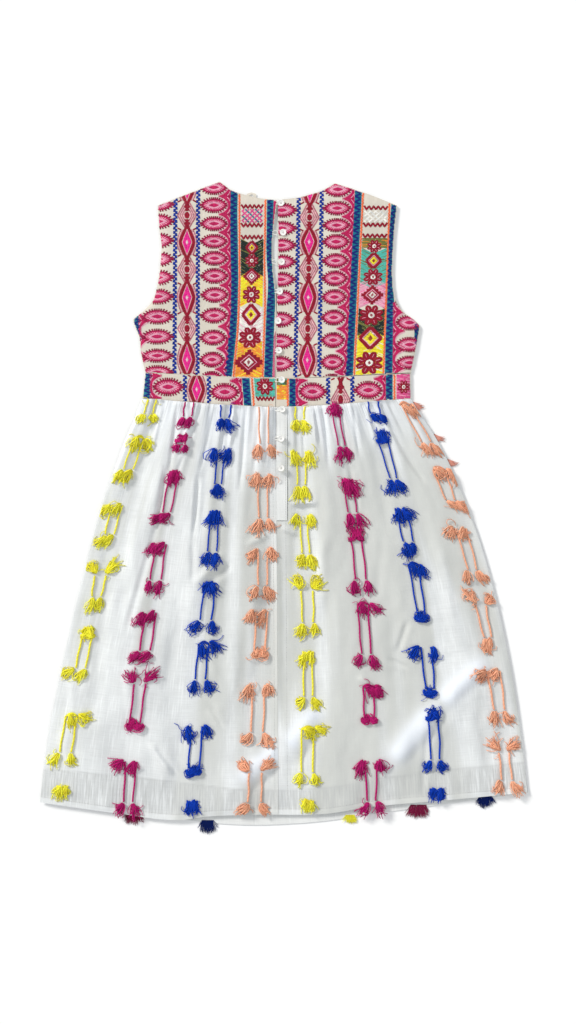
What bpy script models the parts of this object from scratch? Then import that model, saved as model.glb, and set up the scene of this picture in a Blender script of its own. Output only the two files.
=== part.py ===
"""A sleeveless embroidered dress, laid flat on its front and seen from behind.

X runs across the dress, Y from hem to neck and Z up from the surface it lies on.
Sizes and tables are in millimetres; finish_object turns them into metres.
The lowest layer is the flat front, then the lining, then the back, whose side
edges roll down onto the front. Distances down the skirt start at WAIST_LEVEL.
"""

import math
from bisect import bisect_right
from collections import namedtuple

import bmesh
import bpy
from mathutils import Vector
from mathutils.bvhtree import BVHTree

MM = 0.001

# Cloth and the spaces between its layers
WALL = 1.2
LINING_WALL = 1.0
GAP = 0.3
BACK_EDGE = WALL + GAP
LINING_CLEAR = LINING_WALL + GAP
ROLL = 14.0
BODICE_LOFT = 2.3
WAISTBAND_LOFT = 2.9
SKIRT_LOFT = 3.3
STEEPEST = 0.62
SHARP_ANGLE = 38.0
RAY_START = 100.0
EDGE_STEPS = 8

# Outline of the bodice, from the shoulder points down to the waist
Side = namedtuple("Side", "y left right")
BODICE_SIDES = (
    Side(465.1, -194.0, 174.0),
    Side(431.0, -191.7, 170.0),
    Side(400.4, -187.9, 167.9),
    Side(363.4, -191.0, 166.3),
    Side(335.7, -195.6, 167.9),
    Side(317.2, -201.7, 172.5),
    Side(301.0, -218.0, 183.0),
    Side(290.0, -232.5, 200.0),
    Side(280.3, -229.5, 209.4),
    Side(262.0, -222.0, 206.0),
    Side(236.0, -219.8, 201.0),
    Side(208.2, -213.0, 195.0),
)

# Top edge of each back panel: share of the way in from the shoulder point
Edge = namedtuple("Edge", "share x y")
TOP_LEFT = (
    Edge(0.0, -194.0, 465.1),
    Edge(0.25, -145.0, 484.6),
    Edge(0.5, -98.6, 502.0),
    Edge(0.58, -83.2, 489.7),
    Edge(0.67, -67.8, 483.6),
    Edge(0.83, -38.0, 476.2),
    Edge(1.0, -10.6, 473.6),
)
TOP_RIGHT = (
    Edge(0.0, 174.0, 465.1),
    Edge(0.25, 130.0, 482.6),
    Edge(0.5, 78.5, 499.6),
    Edge(0.58, 67.0, 492.4),
    Edge(0.67, 55.4, 486.6),
    Edge(0.83, 22.0, 477.2),
    Edge(1.0, -9.4, 473.6),
)
FRONT_NECK_DEPTH = 85.0
NECK_STEPS = 16

# Grid of a bodice panel across, and the slow swell of its cloth
BODICE_ACROSS = (0.0, 0.03, 0.08, *(k / 12 for k in range(2, 13)))
SWELL_RISE = 0.5
SWELL_ACROSS = 31.0
SWELL_ALONG = 27.0

# Edges of the two back panels along the buttoned opening
Opening = namedtuple("Opening", "y left right")
BACK_OPENING = (
    Opening(473.6, -10.6, -9.4),
    Opening(422.0, -16.9, -9.2),
    Opening(383.5, -19.3, -9.0),
    Opening(348.0, -14.3, -9.6),
    Opening(314.2, -12.2, -10.9),
    Opening(199.4, -13.1, -12.3),
)

# Upper and lower edge of the waistband
Band = namedtuple("Band", "x top bottom")
WAISTBAND = (
    Band(-213.0, 207.9, 167.9),
    Band(-12.3, 199.2, 155.6),
    Band(194.5, 206.6, 167.9),
)
BAND_END_LEFT = (-213.0, -217.6)
BAND_END_RIGHT = (194.5, 194.8)
BAND_ACROSS = (0.0, 0.03, 0.07, *(k / 10 for k in range(1, 11)))
BAND_DOWN = (0.0, 0.33, 0.67, 1.0)

# Side edges of the skirt from waist to hem
SKIRT_SIDES = (
    Side(167.6, -218.7, 194.8),
    Side(140.1, -228.2, 212.5),
    Side(114.0, -240.2, 230.0),
    Side(77.0, -254.1, 250.0),
    Side(3.1, -280.3, 281.8),
    Side(-89.3, -304.9, 312.6),
    Side(-218.7, -335.7, 343.4),
    Side(-366.5, -365.0, 366.5),
    Side(-453.0, -375.3, 375.6),
)

# Lower edges: the back hem lies on the slightly longer front
Hem = namedtuple("Hem", "x back front lining")
HEMS = (
    Hem(-375.3, -452.3, -450.8, -401.0),
    Hem(-262.0, -468.2, -466.6, -410.0),
    Hem(-160.0, -479.6, -478.6, -422.0),
    Hem(-125.0, -474.5, -483.6, -426.0),
    Hem(-43.0, -471.2, -488.0, -434.0),
    Hem(65.0, -469.7, -481.6, -430.0),
    Hem(129.0, -459.8, -472.2, -418.0),
    Hem(256.0, -448.3, -454.6, -402.0),
    Hem(375.6, -437.4, -438.0, -390.0),
)
HEM_TURNING = 8.0
HEM_WALL = 1.7
HEM_STEPS = 24
HEM_SETTLING = 0.45
HEM_SETTLING_REACH = 40.0
LINING_INSET = 17.0
LINING_DROP = 4.0

# Centre-back seam of the skirt, and the stand that carries the lowest buttons
SEAM_TOP = -12.3
SEAM_HEM = -8.3
STAND_WIDTH = 17.0
STAND_FOOT = -19.0
STAND_WALL = 1.0
STAND_ROWS = 9

# Gathers in each half of the skirt. They wander, rise and reach unevenly: each of
# these varies by its share, with a turn of its own from one gather to the next.
Uneven = namedtuple("Uneven", "share turn")
GATHERS = 14
GATHER_RISE = 4.4
GATHER_REACH = 74.0
GATHER_FADE = 1.4
GATHER_WANDER = Uneven(0.3, 2.1)
GATHER_RISES = Uneven(0.35, 1.7)
GATHER_REACHES = Uneven(0.45, 2.3)
GATHER_PHASE = {"left": 0.4, "right": 2.9}
PLAIN_SIDE = 0.045
PLAIN_CENTRE = 0.02
SIDE_COLUMN = 0.018
SKIRT_ROWS = 21
ROW_CROWDING = 1.35

# Larger folds. A crease has a negative rise and swells on both sides.
Fold = namedtuple("Fold", "x0 y0 x1 y1 width rise")
FOLDS = (
    Fold(-163.0, 156.0, -197.0, -45.0, 9.0, -2.4),
    Fold(-197.0, -20.0, -249.0, -222.0, 12.0, -1.8),
    Fold(-105.0, 156.0, -138.0, -50.0, 9.0, -2.4),
    Fold(-58.0, 151.0, -69.0, 20.0, 8.0, -2.0),
    Fold(60.0, 156.0, 69.0, 55.0, 8.0, -2.0),
    Fold(85.0, 156.0, 114.0, -5.0, 9.0, -2.4),
    Fold(145.0, 156.0, 219.0, 37.0, 9.0, -2.4),
    Fold(10.0, 8.0, 53.0, 7.0, 14.0, 2.6),
    Fold(-83.0, -85.0, -162.0, -160.0, 14.0, 2.4),
    Fold(188.0, -150.0, 172.0, -232.0, 13.0, -1.8),
    Fold(-69.0, -419.0, 60.0, -305.0, 20.0, 4.0),
    Fold(163.0, -390.0, 314.0, -228.0, 22.0, 4.4),
    Fold(-206.0, -350.0, -160.0, -425.0, 16.0, 2.6),
    Fold(219.0, -330.0, 211.0, -448.0, 15.0, -1.8),
    Fold(-290.0, -250.0, -318.0, -400.0, 22.0, 2.4),
)
SHOULDER_SHARE = 0.6
SHOULDER_SPREAD = 2.3
FOLD_TAPER = 4.0
FOLD_START = 0.3
FOLD_END = 0.1

# Ladders of clipped yarn down the skirt. Each motif is two rails with a pair of
# tufts at each end; tufts says which ends show: t at its top, b at its bottom.
# waist and across are shares of the skirt's width, at the seam and below it.
Ladder = namedtuple("Ladder", "name colour waist across motifs")
Motif = namedtuple("Motif", "top bottom tufts")
WAIST_LEVEL = 161.7
YELLOW = (0.93, 0.72, 0.03)
MAGENTA = (0.38, 0.02, 0.10)
BLUE = (0.01, 0.04, 0.36)
CORAL = (0.90, 0.30, 0.17)
LADDERS = (
    Ladder("yellow_left", YELLOW, 0.041, 0.043, (
        Motif(0, 31, "b"), Motif(52, 125, "tb"), Motif(154, 225, "tb"), Motif(245, 320, "tb"),
        Motif(348, 430, "tb"), Motif(477, 559, "tb"), Motif(585, 615, "t"))),
    Ladder("magenta_left", MAGENTA, 0.181, 0.181, (
        Motif(0, 39, "b"), Motif(49, 76, "tb"), Motif(102, 191, "tb"), Motif(214, 294, "tb"),
        Motif(319, 403, "tb"), Motif(411, 514, "tb"), Motif(547, 636, "tb"))),
    Ladder("blue_left", BLUE, 0.313, 0.312, (
        Motif(0, 43, "b"), Motif(68, 148, "tb"), Motif(163, 251, "tb"), Motif(273, 356, "tb"),
        Motif(367, 447, "tb"), Motif(493, 584, "tb"), Motif(608, 640, "t"))),
    Ladder("coral_left", CORAL, 0.452, 0.441, (
        Motif(0, 86, "b"), Motif(105, 199, "tb"), Motif(220, 303, "tb"), Motif(317, 405, "tb"),
        Motif(430, 528, "tb"), Motif(547, 636, "tb"))),
    Ladder("yellow_right", YELLOW, 0.588, 0.549, (
        Motif(0, 46, "b"), Motif(71, 149, "tb"), Motif(169, 254, "tb"), Motif(268, 360, "tb"),
        Motif(379, 473, "tb"), Motif(496, 590, "tb"), Motif(608, 632, "t"))),
    Ladder("magenta_right", MAGENTA, 0.711, 0.681, (
        Motif(0, 89, "tb"), Motif(114, 191, "tb"), Motif(200, 294, "tb"), Motif(306, 408, "tb"),
        Motif(433, 505, "tb"), Motif(545, 634, "tb"))),
    Ladder("blue_right", BLUE, 0.853, 0.815, (
        Motif(0, 31, "b"), Motif(49, 139, "tb"), Motif(159, 236, "tb"), Motif(246, 347, "tb"),
        Motif(371, 462, "tb"), Motif(474, 570, "tb"), Motif(590, 614, "t"))),
    Ladder("coral_right", CORAL, 0.964, 0.960, (
        Motif(0, 83, "tb"), Motif(99, 172, "tb"), Motif(189, 279, "tb"), Motif(291, 383, "tb"),
        Motif(408, 494, "tb"), Motif(517, 602, "tb"))),
)
RAIL_OUTER = 9.3
RAIL_INNER = 5.6
TUFT_OUTER = 12.0
WAIST_REACH = 45.0
LINK_HALF = 1.1
TUFT_LENGTH = 20.0
TUFT_SHARE = 0.42
RAIL_STEP = 24.0
YARN_WALL = 1.5
LOCK_RISE = 2.8
LOCK_LEAN = 2.5
LOCK_TIP = 0.55
EDGE_MARGIN = 1.5
SAMPLES = 16
LIFT_GAP = 0.42
LIFT_ROUNDS = 30
LIFT_TOLERANCE = 0.01

# Tufts of the front's own ladders that show past the hem and the right side
EdgeTuft = namedtuple("EdgeTuft", "name colour edge place reach locks")
EDGE_TUFTS = (
    EdgeTuft("hem_magenta_left", MAGENTA, "hem", -229.0, 15.0, 5),
    EdgeTuft("hem_blue_left", BLUE, "hem", -116.0, 15.0, 4),
    EdgeTuft("hem_yellow", YELLOW, "hem", 101.0, 6.0, 3),
    EdgeTuft("hem_magenta_right", MAGENTA, "hem", 205.0, 14.0, 5),
    EdgeTuft("hem_blue_right", BLUE, "hem", 308.0, 12.0, 4),
    EdgeTuft("side_coral_top", CORAL, "side", 153.0, 14.0, 2),
    EdgeTuft("side_coral_high", CORAL, "side", 105.0, 12.0, 2),
    EdgeTuft("side_coral_low", CORAL, "side", 67.0, 13.0, 2),
)
TUFT_CLEAR = 0.9
BACKING_DEPTH = 3.0
BACKING_HIGH = 1.4
FLOOR_CLEAR = 0.3
LOCK_WIDTH = 5.0
LOCK_STEPS = ((0.7, 0.8), (0.5, 0.0))
LOCK_SPREAD = 1.25
LOCK_SHORTENING = 0.2
LOCK_TURN = 2.4

# Buttons down the right edge of the opening
BUTTON_TOP = 468.6
BUTTON_PITCH = 45.3
BUTTON_PLACES = (-4.8, -1.4, -3.7, -6.6, -9.1, -7.9, -3.4, -2.8, -4.5, -4.5)
BUTTON_RADIUS = 5.0
BUTTON_RIM = 1.1
BUTTON_HIGH = 2.2
BUTTON_DISH = 0.7
BUTTON_SIDES = 12
SEAT_SAMPLES = 16

# Facing behind the opening, and the hanging loop inside the neck
FACING_LEFT = -28.0
FACING_RIGHT = -2.0
FACING_TOP = 452.0
FACING_OVERLAP = 10.0
LOOP_CENTRE = -50.0
LOOP_HALF = 7.0
LOOP_TOP = 485.6
LOOP_FOOT = 468.0
LOOP_WIDTH = 2.2
LOOP_PEAK = 2.0
LOOP_LEVEL = 0.1

# Colours
EMBROIDERY = (0.55, 0.16, 0.22)
LINEN = (0.72, 0.68, 0.58)
COTTON = (0.80, 0.79, 0.74)
WHITE = (0.86, 0.86, 0.82)
CLOTH_ROUGHNESS = 0.85
BUTTON_ROUGHNESS = 0.3


def through(rows, key, value):
    """Give one column of a table as a smooth function of another column."""
    pairs = sorted((getattr(row, key), getattr(row, value)) for row in rows)
    keys, values = zip(*pairs)
    last = len(keys) - 1
    steps = [(values[i + 1] - values[i]) / (keys[i + 1] - keys[i]) for i in range(last)]
    slopes = [steps[0], *((a + b) / 2 for a, b in zip(steps, steps[1:])), steps[-1]]

    def at(place):
        place = min(max(place, keys[0]), keys[-1])
        i = min(bisect_right(keys, place), last) - 1
        span = keys[i + 1] - keys[i]
        f = (place - keys[i]) / span
        rising = f * f * (3 - 2 * f)
        bend = span * f * (1 - f) * (slopes[i] * (1 - f) - slopes[i + 1] * f)
        return values[i] * (1 - rising) + values[i + 1] * rising + bend

    return at


def straight(rows, key, value):
    """Give one column of a table as a function of another, straight between rows."""
    pairs = sorted((getattr(row, key), getattr(row, value)) for row in rows)
    keys, values = zip(*pairs)

    def at(place):
        place = min(max(place, keys[0]), keys[-1])
        i = min(bisect_right(keys, place), len(keys) - 1) - 1
        f = (place - keys[i]) / (keys[i + 1] - keys[i])
        return values[i] + (values[i + 1] - values[i]) * f

    return at


BAND_TOP = through(WAISTBAND, "x", "top")
BAND_BOTTOM = through(WAISTBAND, "x", "bottom")
BACK_HEM = through(HEMS, "x", "back")
FRONT_HEM = through(HEMS, "x", "front")
LINING_HEM = through(HEMS, "x", "lining")
SKIRT_LEFT = through(SKIRT_SIDES, "y", "left")
SKIRT_RIGHT = through(SKIRT_SIDES, "y", "right")


def mix(start, end, share):
    """Go a share of the way from one value to another."""
    return start + (end - start) * share


def rolled(distance):
    """Height of a rolled edge, as a share, at a distance in from the edge."""
    share = min(max(distance / ROLL, 0.0), 1.0)
    return math.sqrt(1 - (1 - share) ** 2)


def clear_scene():
    """Remove the scene's objects."""
    for item in list(bpy.data.objects):
        bpy.data.objects.remove(item)


def finish_object(shape, name, colour, roughness=CLOTH_ROUGHNESS):
    """Turn a closed shape in millimetres into a named object with its material."""
    bmesh.ops.recalc_face_normals(shape, faces=shape.faces)
    bmesh.ops.scale(shape, verts=shape.verts, vec=(MM, MM, MM))
    mesh = bpy.data.meshes.new(name)
    shape.to_mesh(mesh)
    shape.free()
    mesh.shade_smooth()
    mesh.set_sharp_from_angle(angle=math.radians(SHARP_ANGLE))
    material = bpy.data.materials.new(name)
    material.use_nodes = True
    surface = material.node_tree.nodes["Principled BSDF"]
    surface.inputs["Base Color"].default_value = (*colour, 1.0)
    surface.inputs["Roughness"].default_value = roughness
    surface.inputs["Metallic"].default_value = 0.0
    mesh.materials.append(material)
    item = bpy.data.objects.new(name, mesh)
    bpy.context.collection.objects.link(item)
    return item


def raise_wall(shape, thickness_at):
    """Give an open sheet its wall: a copy of it above, joined round the rim."""
    shape.normal_update()
    rise = shape.verts.layers.float.new("rise")
    for vert in shape.verts:
        vert[rise] = thickness_at(vert) / max(abs(vert.normal.z), STEEPEST)
    raised = bmesh.ops.extrude_face_region(shape, geom=shape.faces[:])["geom"]
    for part in raised:
        if isinstance(part, bmesh.types.BMVert):
            part.co.z += part[rise]
    return [part for part in raised if isinstance(part, bmesh.types.BMFace)]


def patch(top, bottom, side, centre, across, down):
    """Spread a grid of plan points between four edges."""
    rows = []
    for t in down:
        row = []
        for s in across:
            ruled = mix(top(s), bottom(s), t) + mix(side(t), centre(t), s)
            row.append(ruled - mix(mix(top(0), top(1), s), mix(bottom(0), bottom(1), s), t))
        rows.append(row)
    return rows


def make_panel(name, grid, height, colour, wall_at=None):
    """Make a cloth panel over a grid and return what can lie on it.

    height takes a row, a column and a plan point, and gives the underside's height.
    """
    shape = bmesh.new()
    lattice = []
    for i, row in enumerate(grid):
        points = [Vector((p.x, p.y, height(i, j, p))) for j, p in enumerate(row)]
        lattice.append([shape.verts.new(point) for point in points])
    for near, far in zip(lattice, lattice[1:]):
        for j in range(len(near) - 1):
            shape.faces.new((near[j], far[j], far[j + 1], near[j + 1]))
    raise_wall(shape, wall_at or (lambda vert: WALL))
    bmesh.ops.triangulate(shape, faces=shape.faces)
    surface = BVHTree.FromBMesh(shape)
    finish_object(shape, name, colour)
    return surface


def make_sheet(name, outline, level, wall, colour):
    """Make a flat sheet from its outline."""
    shape = bmesh.new()
    shape.faces.new([shape.verts.new((x, y, level)) for x, y in outline])
    raise_wall(shape, lambda vert: wall)
    bmesh.ops.triangulate(shape, faces=shape.faces)
    finish_object(shape, name, colour)


def highest(surfaces, x, y):
    """Height of the cloth at a plan point, or None beside it."""
    above = Vector((x, y, RAY_START))
    hits = [surface.ray_cast(above, Vector((0, 0, -1)))[0] for surface in surfaces]
    heights = [hit.z for hit in hits if hit is not None]
    return max(heights) if heights else None


def bodice_back(side):
    """Make one back panel of the bodice: its outline, then a low crown."""
    edge = TOP_LEFT if side == "left" else TOP_RIGHT
    top_x = straight(edge, "share", "x")
    top_y = straight(edge, "share", "y")
    neck_y = straight(edge, "x", "y")
    side_x = straight(BODICE_SIDES, "y", side)
    opening_x = through(BACK_OPENING, "y", side)
    shoulder, waist = BODICE_SIDES[0].y, BODICE_SIDES[-1].y
    neck, foot = BACK_OPENING[0].y, BACK_OPENING[-1].y
    waist_start, waist_end = getattr(BODICE_SIDES[-1], side), getattr(BACK_OPENING[-1], side)

    def bottom(s):
        x = mix(waist_start, waist_end, s)
        return Vector((x, BAND_TOP(x) + GAP))

    def side_edge(t):
        y = mix(shoulder, waist, t)
        return Vector((side_x(y), y))

    def centre_edge(t):
        y = mix(neck, foot, t)
        return Vector((opening_x(y), y))

    down = [(shoulder - row.y) / (shoulder - waist) for row in BODICE_SIDES]
    down.insert(1, ROLL / (shoulder - waist))
    grid = patch(
        lambda s: Vector((top_x(s), top_y(s))), bottom, side_edge, centre_edge, BODICE_ACROSS,
        down,
    )

    def height(i, j, point):
        inward = rolled(abs(point.x - side_edge(down[i]).x))
        below = rolled(neck_y(point.x) - point.y)
        swell = SWELL_RISE * math.sin(point.y / SWELL_ALONG) * math.sin(point.x / SWELL_ACROSS)
        return BACK_EDGE + min(inward, below) * (BODICE_LOFT + swell)

    return make_panel(f"bodice_back_{side}", grid, height, EMBROIDERY)


def bodice_front():
    """Make the flat front of the bodice with its round neck."""
    left_peak = max(TOP_LEFT, key=lambda row: row.y)
    right_peak = max(TOP_RIGHT, key=lambda row: row.y)
    half = (right_peak.x - left_peak.x) / 2
    middle = left_peak.x + half
    scoop = []
    for k in range(1, NECK_STEPS):
        turn = math.pi * k / NECK_STEPS
        x = middle - half * math.cos(turn)
        y = mix(left_peak.y, right_peak.y, k / NECK_STEPS) - FRONT_NECK_DEPTH * math.sin(turn)
        scoop.append((x, y))
    outline = [(row.left, row.y) for row in reversed(BODICE_SIDES[:-1])]
    outline += [(left_peak.x, left_peak.y), *scoop, (right_peak.x, right_peak.y)]
    outline += [(row.right, row.y) for row in BODICE_SIDES[:-1]]
    for k in range(EDGE_STEPS + 1):
        x = mix(BODICE_SIDES[-1].right, BODICE_SIDES[-1].left, k / EDGE_STEPS)
        outline.append((x, BAND_TOP(x) + GAP))
    make_sheet("bodice_front", outline, 0.0, WALL, EMBROIDERY)


def waistband_back(side):
    """Make one half of the embroidered waistband."""
    ends = BAND_END_LEFT if side == "left" else BAND_END_RIGHT
    centre = BACK_OPENING[-1].left if side == "left" else BACK_OPENING[-1].right

    def along(edge, end):
        def at(s):
            x = mix(end, centre, s)
            return Vector((x, edge(x)))
        return at

    top, bottom = along(BAND_TOP, ends[0]), along(BAND_BOTTOM, ends[1])
    grid = patch(
        top, bottom, lambda t: mix(top(0), bottom(0), t), lambda t: mix(top(1), bottom(1), t),
        BAND_ACROSS, BAND_DOWN,
    )

    def height(i, j, point):
        inward = rolled(abs(point.x - mix(ends[0], ends[1], BAND_DOWN[i])))
        return BACK_EDGE + inward * WAISTBAND_LOFT

    return make_panel(f"waistband_back_{side}", grid, height, EMBROIDERY)


def waistband_front():
    """Make the flat front of the waistband."""
    outline = []
    for k in range(EDGE_STEPS + 1):
        x = mix(BAND_END_LEFT[0], BAND_END_RIGHT[0], k / EDGE_STEPS)
        outline.append((x, BAND_TOP(x)))
    for k in range(EDGE_STEPS + 1):
        x = mix(BAND_END_RIGHT[1], BAND_END_LEFT[1], k / EDGE_STEPS)
        outline.append((x, BAND_BOTTOM(x)))
    make_sheet("waistband_front", outline, 0.0, WALL, EMBROIDERY)


def gather_edges(plain_start, plain_end):
    """Shares across a half of the skirt at which one gather ends and the next starts."""
    room = 1 - plain_start - plain_end
    edges = []
    for k in range(GATHERS + 1):
        wander = GATHER_WANDER.share * math.sin(GATHER_WANDER.turn * k)
        wander *= math.sin(math.pi * k / GATHERS)
        edges.append(plain_start + room * (k + wander) / GATHERS)
    return edges


def gather_height(edges, s, below, phase):
    """Rise of the gathers at a share across and a distance below the waist seam."""
    if not edges[0] < s < edges[-1]:
        return 0.0
    k = bisect_right(edges, s) - 1
    within = (s - edges[k]) / (edges[k + 1] - edges[k])
    rise = GATHER_RISE * (1 + GATHER_RISES.share * math.sin(GATHER_RISES.turn * k + phase))
    reach = GATHER_REACHES.share * math.sin(GATHER_REACHES.turn * k + 2 * phase)
    fade = (below / (GATHER_REACH * (1 + reach))) ** GATHER_FADE
    return rise * math.sin(math.pi * within) ** 2 * math.exp(-fade)


def fold_height(x, y):
    """Rise of the larger folds at a plan point."""
    total = 0.0
    for fold in FOLDS:
        start = Vector((fold.x0, fold.y0))
        along = Vector((fold.x1, fold.y1)) - start
        away = Vector((x, y)) - start
        share = min(max(away.dot(along) / along.length_squared, 0.0), 1.0)
        distance = (away - along * share).length / fold.width
        fade = min(1.0, FOLD_TAPER * share + FOLD_START, FOLD_TAPER * (1 - share) + FOLD_END)
        total += fold.rise * fade * math.exp(-distance * distance)
        if fold.rise < 0:
            spread = distance / SHOULDER_SPREAD
            total -= SHOULDER_SHARE * fold.rise * fade * math.exp(-spread * spread)
    return total


def skirt_back(side):
    """Make one half of the gathered skirt's back."""
    side_x = SKIRT_LEFT if side == "left" else SKIRT_RIGHT
    top_side = getattr(SKIRT_SIDES[0], side)
    hem_side = getattr(SKIRT_SIDES[-1], side)
    seam_gap = -GAP / 2 if side == "left" else GAP / 2
    plain_centre = PLAIN_CENTRE if side == "left" else STAND_WIDTH / (top_side - SEAM_TOP)
    phase = GATHER_PHASE[side]
    edges = gather_edges(PLAIN_SIDE, plain_centre)

    def top(s):
        x = mix(top_side, SEAM_TOP + seam_gap, s)
        return Vector((x, BAND_BOTTOM(x) - GAP))

    def bottom(s):
        x = mix(hem_side, SEAM_HEM + seam_gap, s)
        return Vector((x, BACK_HEM(x)))

    def side_edge(t):
        y = mix(top(0).y, bottom(0).y, t)
        return Vector((side_x(y), y))

    def centre_edge(t):
        return mix(top(1), bottom(1), t)

    peaks = [(a + b) / 2 for a, b in zip(edges, edges[1:])]
    across = sorted([0.0, SIDE_COLUMN, *edges, *peaks, 1.0])
    down = [(k / SKIRT_ROWS) ** ROW_CROWDING for k in range(SKIRT_ROWS + 1)]
    down.insert(-1, 1 - HEM_TURNING / (top(0).y - bottom(0).y))
    grid = patch(top, bottom, side_edge, centre_edge, across, down)

    def height(i, j, point):
        inward = rolled(abs(point.x - side_x(point.y)))
        below = BAND_BOTTOM(point.x) - point.y
        gathered = gather_height(edges, across[j], below, phase)
        above_hem = point.y - BACK_HEM(point.x)
        settled = 1 - HEM_SETTLING * math.exp(-above_hem / HEM_SETTLING_REACH)
        loft = SKIRT_LOFT * settled + gathered + fold_height(point.x, point.y)
        return BACK_EDGE + inward * max(loft, LINING_CLEAR)

    def wall_at(vert):
        in_hem = vert.co.y - BACK_HEM(vert.co.x) < HEM_TURNING / 2
        return HEM_WALL if in_hem else WALL

    return make_panel(f"skirt_back_{side}", grid, height, COTTON, wall_at)


def skirt_outline(inset, top_drop, hem):
    """Outline of a whole layer of the skirt, anticlockwise from its upper left."""
    levels = [row.y for row in SKIRT_SIDES[1:-1]]
    left_top, right_top = SKIRT_SIDES[0].left + inset, SKIRT_SIDES[0].right - inset
    left_hem, right_hem = SKIRT_SIDES[-1].left + inset, SKIRT_SIDES[-1].right - inset
    outline = [(left_top, BAND_BOTTOM(left_top) - top_drop)]
    outline += [(SKIRT_LEFT(y) + inset, y) for y in levels if y > hem(left_hem)]
    for k in range(HEM_STEPS + 1):
        x = mix(left_hem, right_hem, k / HEM_STEPS)
        outline.append((x, hem(x)))
    outline += [(SKIRT_RIGHT(y) - inset, y) for y in reversed(levels) if y > hem(right_hem)]
    for k in range(EDGE_STEPS):
        x = mix(right_top, left_top, k / EDGE_STEPS)
        outline.append((x, BAND_BOTTOM(x) - top_drop))
    return outline


def skirt_front():
    """Make the flat front of the skirt, a little longer than the back."""
    make_sheet("skirt_front", skirt_outline(0.0, GAP, FRONT_HEM), 0.0, WALL, COTTON)


def skirt_lining():
    """Make the lining, which shows through the thin cloth above the hem."""
    outline = skirt_outline(LINING_INSET, LINING_DROP, LINING_HEM)
    make_sheet("skirt_lining", outline, BACK_EDGE, LINING_WALL, WHITE)


def cell_samples(face, surfaces):
    """Points of a four-sided cell over the cloth: shares of its corners, and a height.

    The cell may be split along either diagonal, so each point comes with both.
    """
    a, b, c, d = (vert.co for vert in face.verts)
    samples = []
    for i in range(SAMPLES + 1):
        for j in range(SAMPLES + 1):
            s, t = i / SAMPLES, j / SAMPLES
            point = mix(mix(a, b, s), mix(d, c, s), t)
            cloth = highest(surfaces, point.x, point.y)
            if cloth is None:
                continue
            first = (1 - t, 0, s, t - s) if t > s else (1 - s, s - t, t, 0)
            second = (1 - s - t, s, 0, t) if s + t < 1 else (0, 1 - t, s + t - 1, 1 - s)
            samples += [(first, cloth + LIFT_GAP), (second, cloth + LIFT_GAP)]
    return samples


def lift_clear(shape, surfaces):
    """Lower an open sheet onto the cloth below, with all of it just clear."""
    for vert in shape.verts:
        vert.co.z = (highest(surfaces, vert.co.x, vert.co.y) or 0.0) + LIFT_GAP
    cells = [(face.verts[:], cell_samples(face, surfaces)) for face in shape.faces]
    for _ in range(LIFT_ROUNDS):
        settled = True
        for corners, samples in cells:
            for shares, level in samples:
                need = level - sum(share * vert.co.z for share, vert in zip(shares, corners))
                if need > LIFT_TOLERANCE:
                    settled = False
                    total = sum(share * share for share in shares)
                    for share, vert in zip(shares, corners):
                        vert.co.z += need * share / total
        if settled:
            return


def button_stand(surfaces):
    """Make the stand that carries the buttons below the waistband."""
    shape = bmesh.new()
    left, right = SEAM_TOP + 2 * GAP, SEAM_TOP + STAND_WIDTH
    lattice = []
    for k in range(STAND_ROWS + 1):
        y = mix(BAND_BOTTOM(SEAM_TOP) - 2 * GAP, STAND_FOOT, k / STAND_ROWS)
        lattice.append([shape.verts.new((x, y, 0)) for x in (left, mix(left, right, 0.5), right)])
    for near, far in zip(lattice, lattice[1:]):
        for j in range(2):
            shape.faces.new((near[j], far[j], far[j + 1], near[j + 1]))
    lift_clear(shape, surfaces)
    raise_wall(shape, lambda vert: STAND_WALL)
    bmesh.ops.triangulate(shape, faces=shape.faces)
    surface = BVHTree.FromBMesh(shape)
    finish_object(shape, "skirt_button_stand", COTTON)
    return surface


def ladder_lines(ladder):
    """Lines of a ladder down the skirt, and which of its three lanes follow each.

    A line is its distance down, its half width outside and its half width inside.
    """
    lines, lanes = [], []
    for index, motif in enumerate(ladder.motifs):
        length = motif.bottom - motif.top
        tuft = min(TUFT_LENGTH, TUFT_SHARE * length)
        start, end = float(motif.top), float(motif.bottom)
        rail_start = start + tuft if "t" in motif.tufts else start
        rail_end = end - tuft if "b" in motif.tufts else end
        if "t" in motif.tufts:
            lines.append((start, TUFT_OUTER, LINK_HALF))
            lanes.append((True, True, True))
        pieces = max(1, round((rail_end - rail_start) / RAIL_STEP))
        for k in range(pieces + 1):
            lines.append((mix(rail_start, rail_end, k / pieces), RAIL_OUTER, RAIL_INNER))
            lanes.append((True, False, True))
        if "b" in motif.tufts:
            lanes[-1] = (True, True, True)
            lines.append((end, TUFT_OUTER, LINK_HALF))
            lanes.append((False, True, False))
    return lines, lanes


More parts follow.
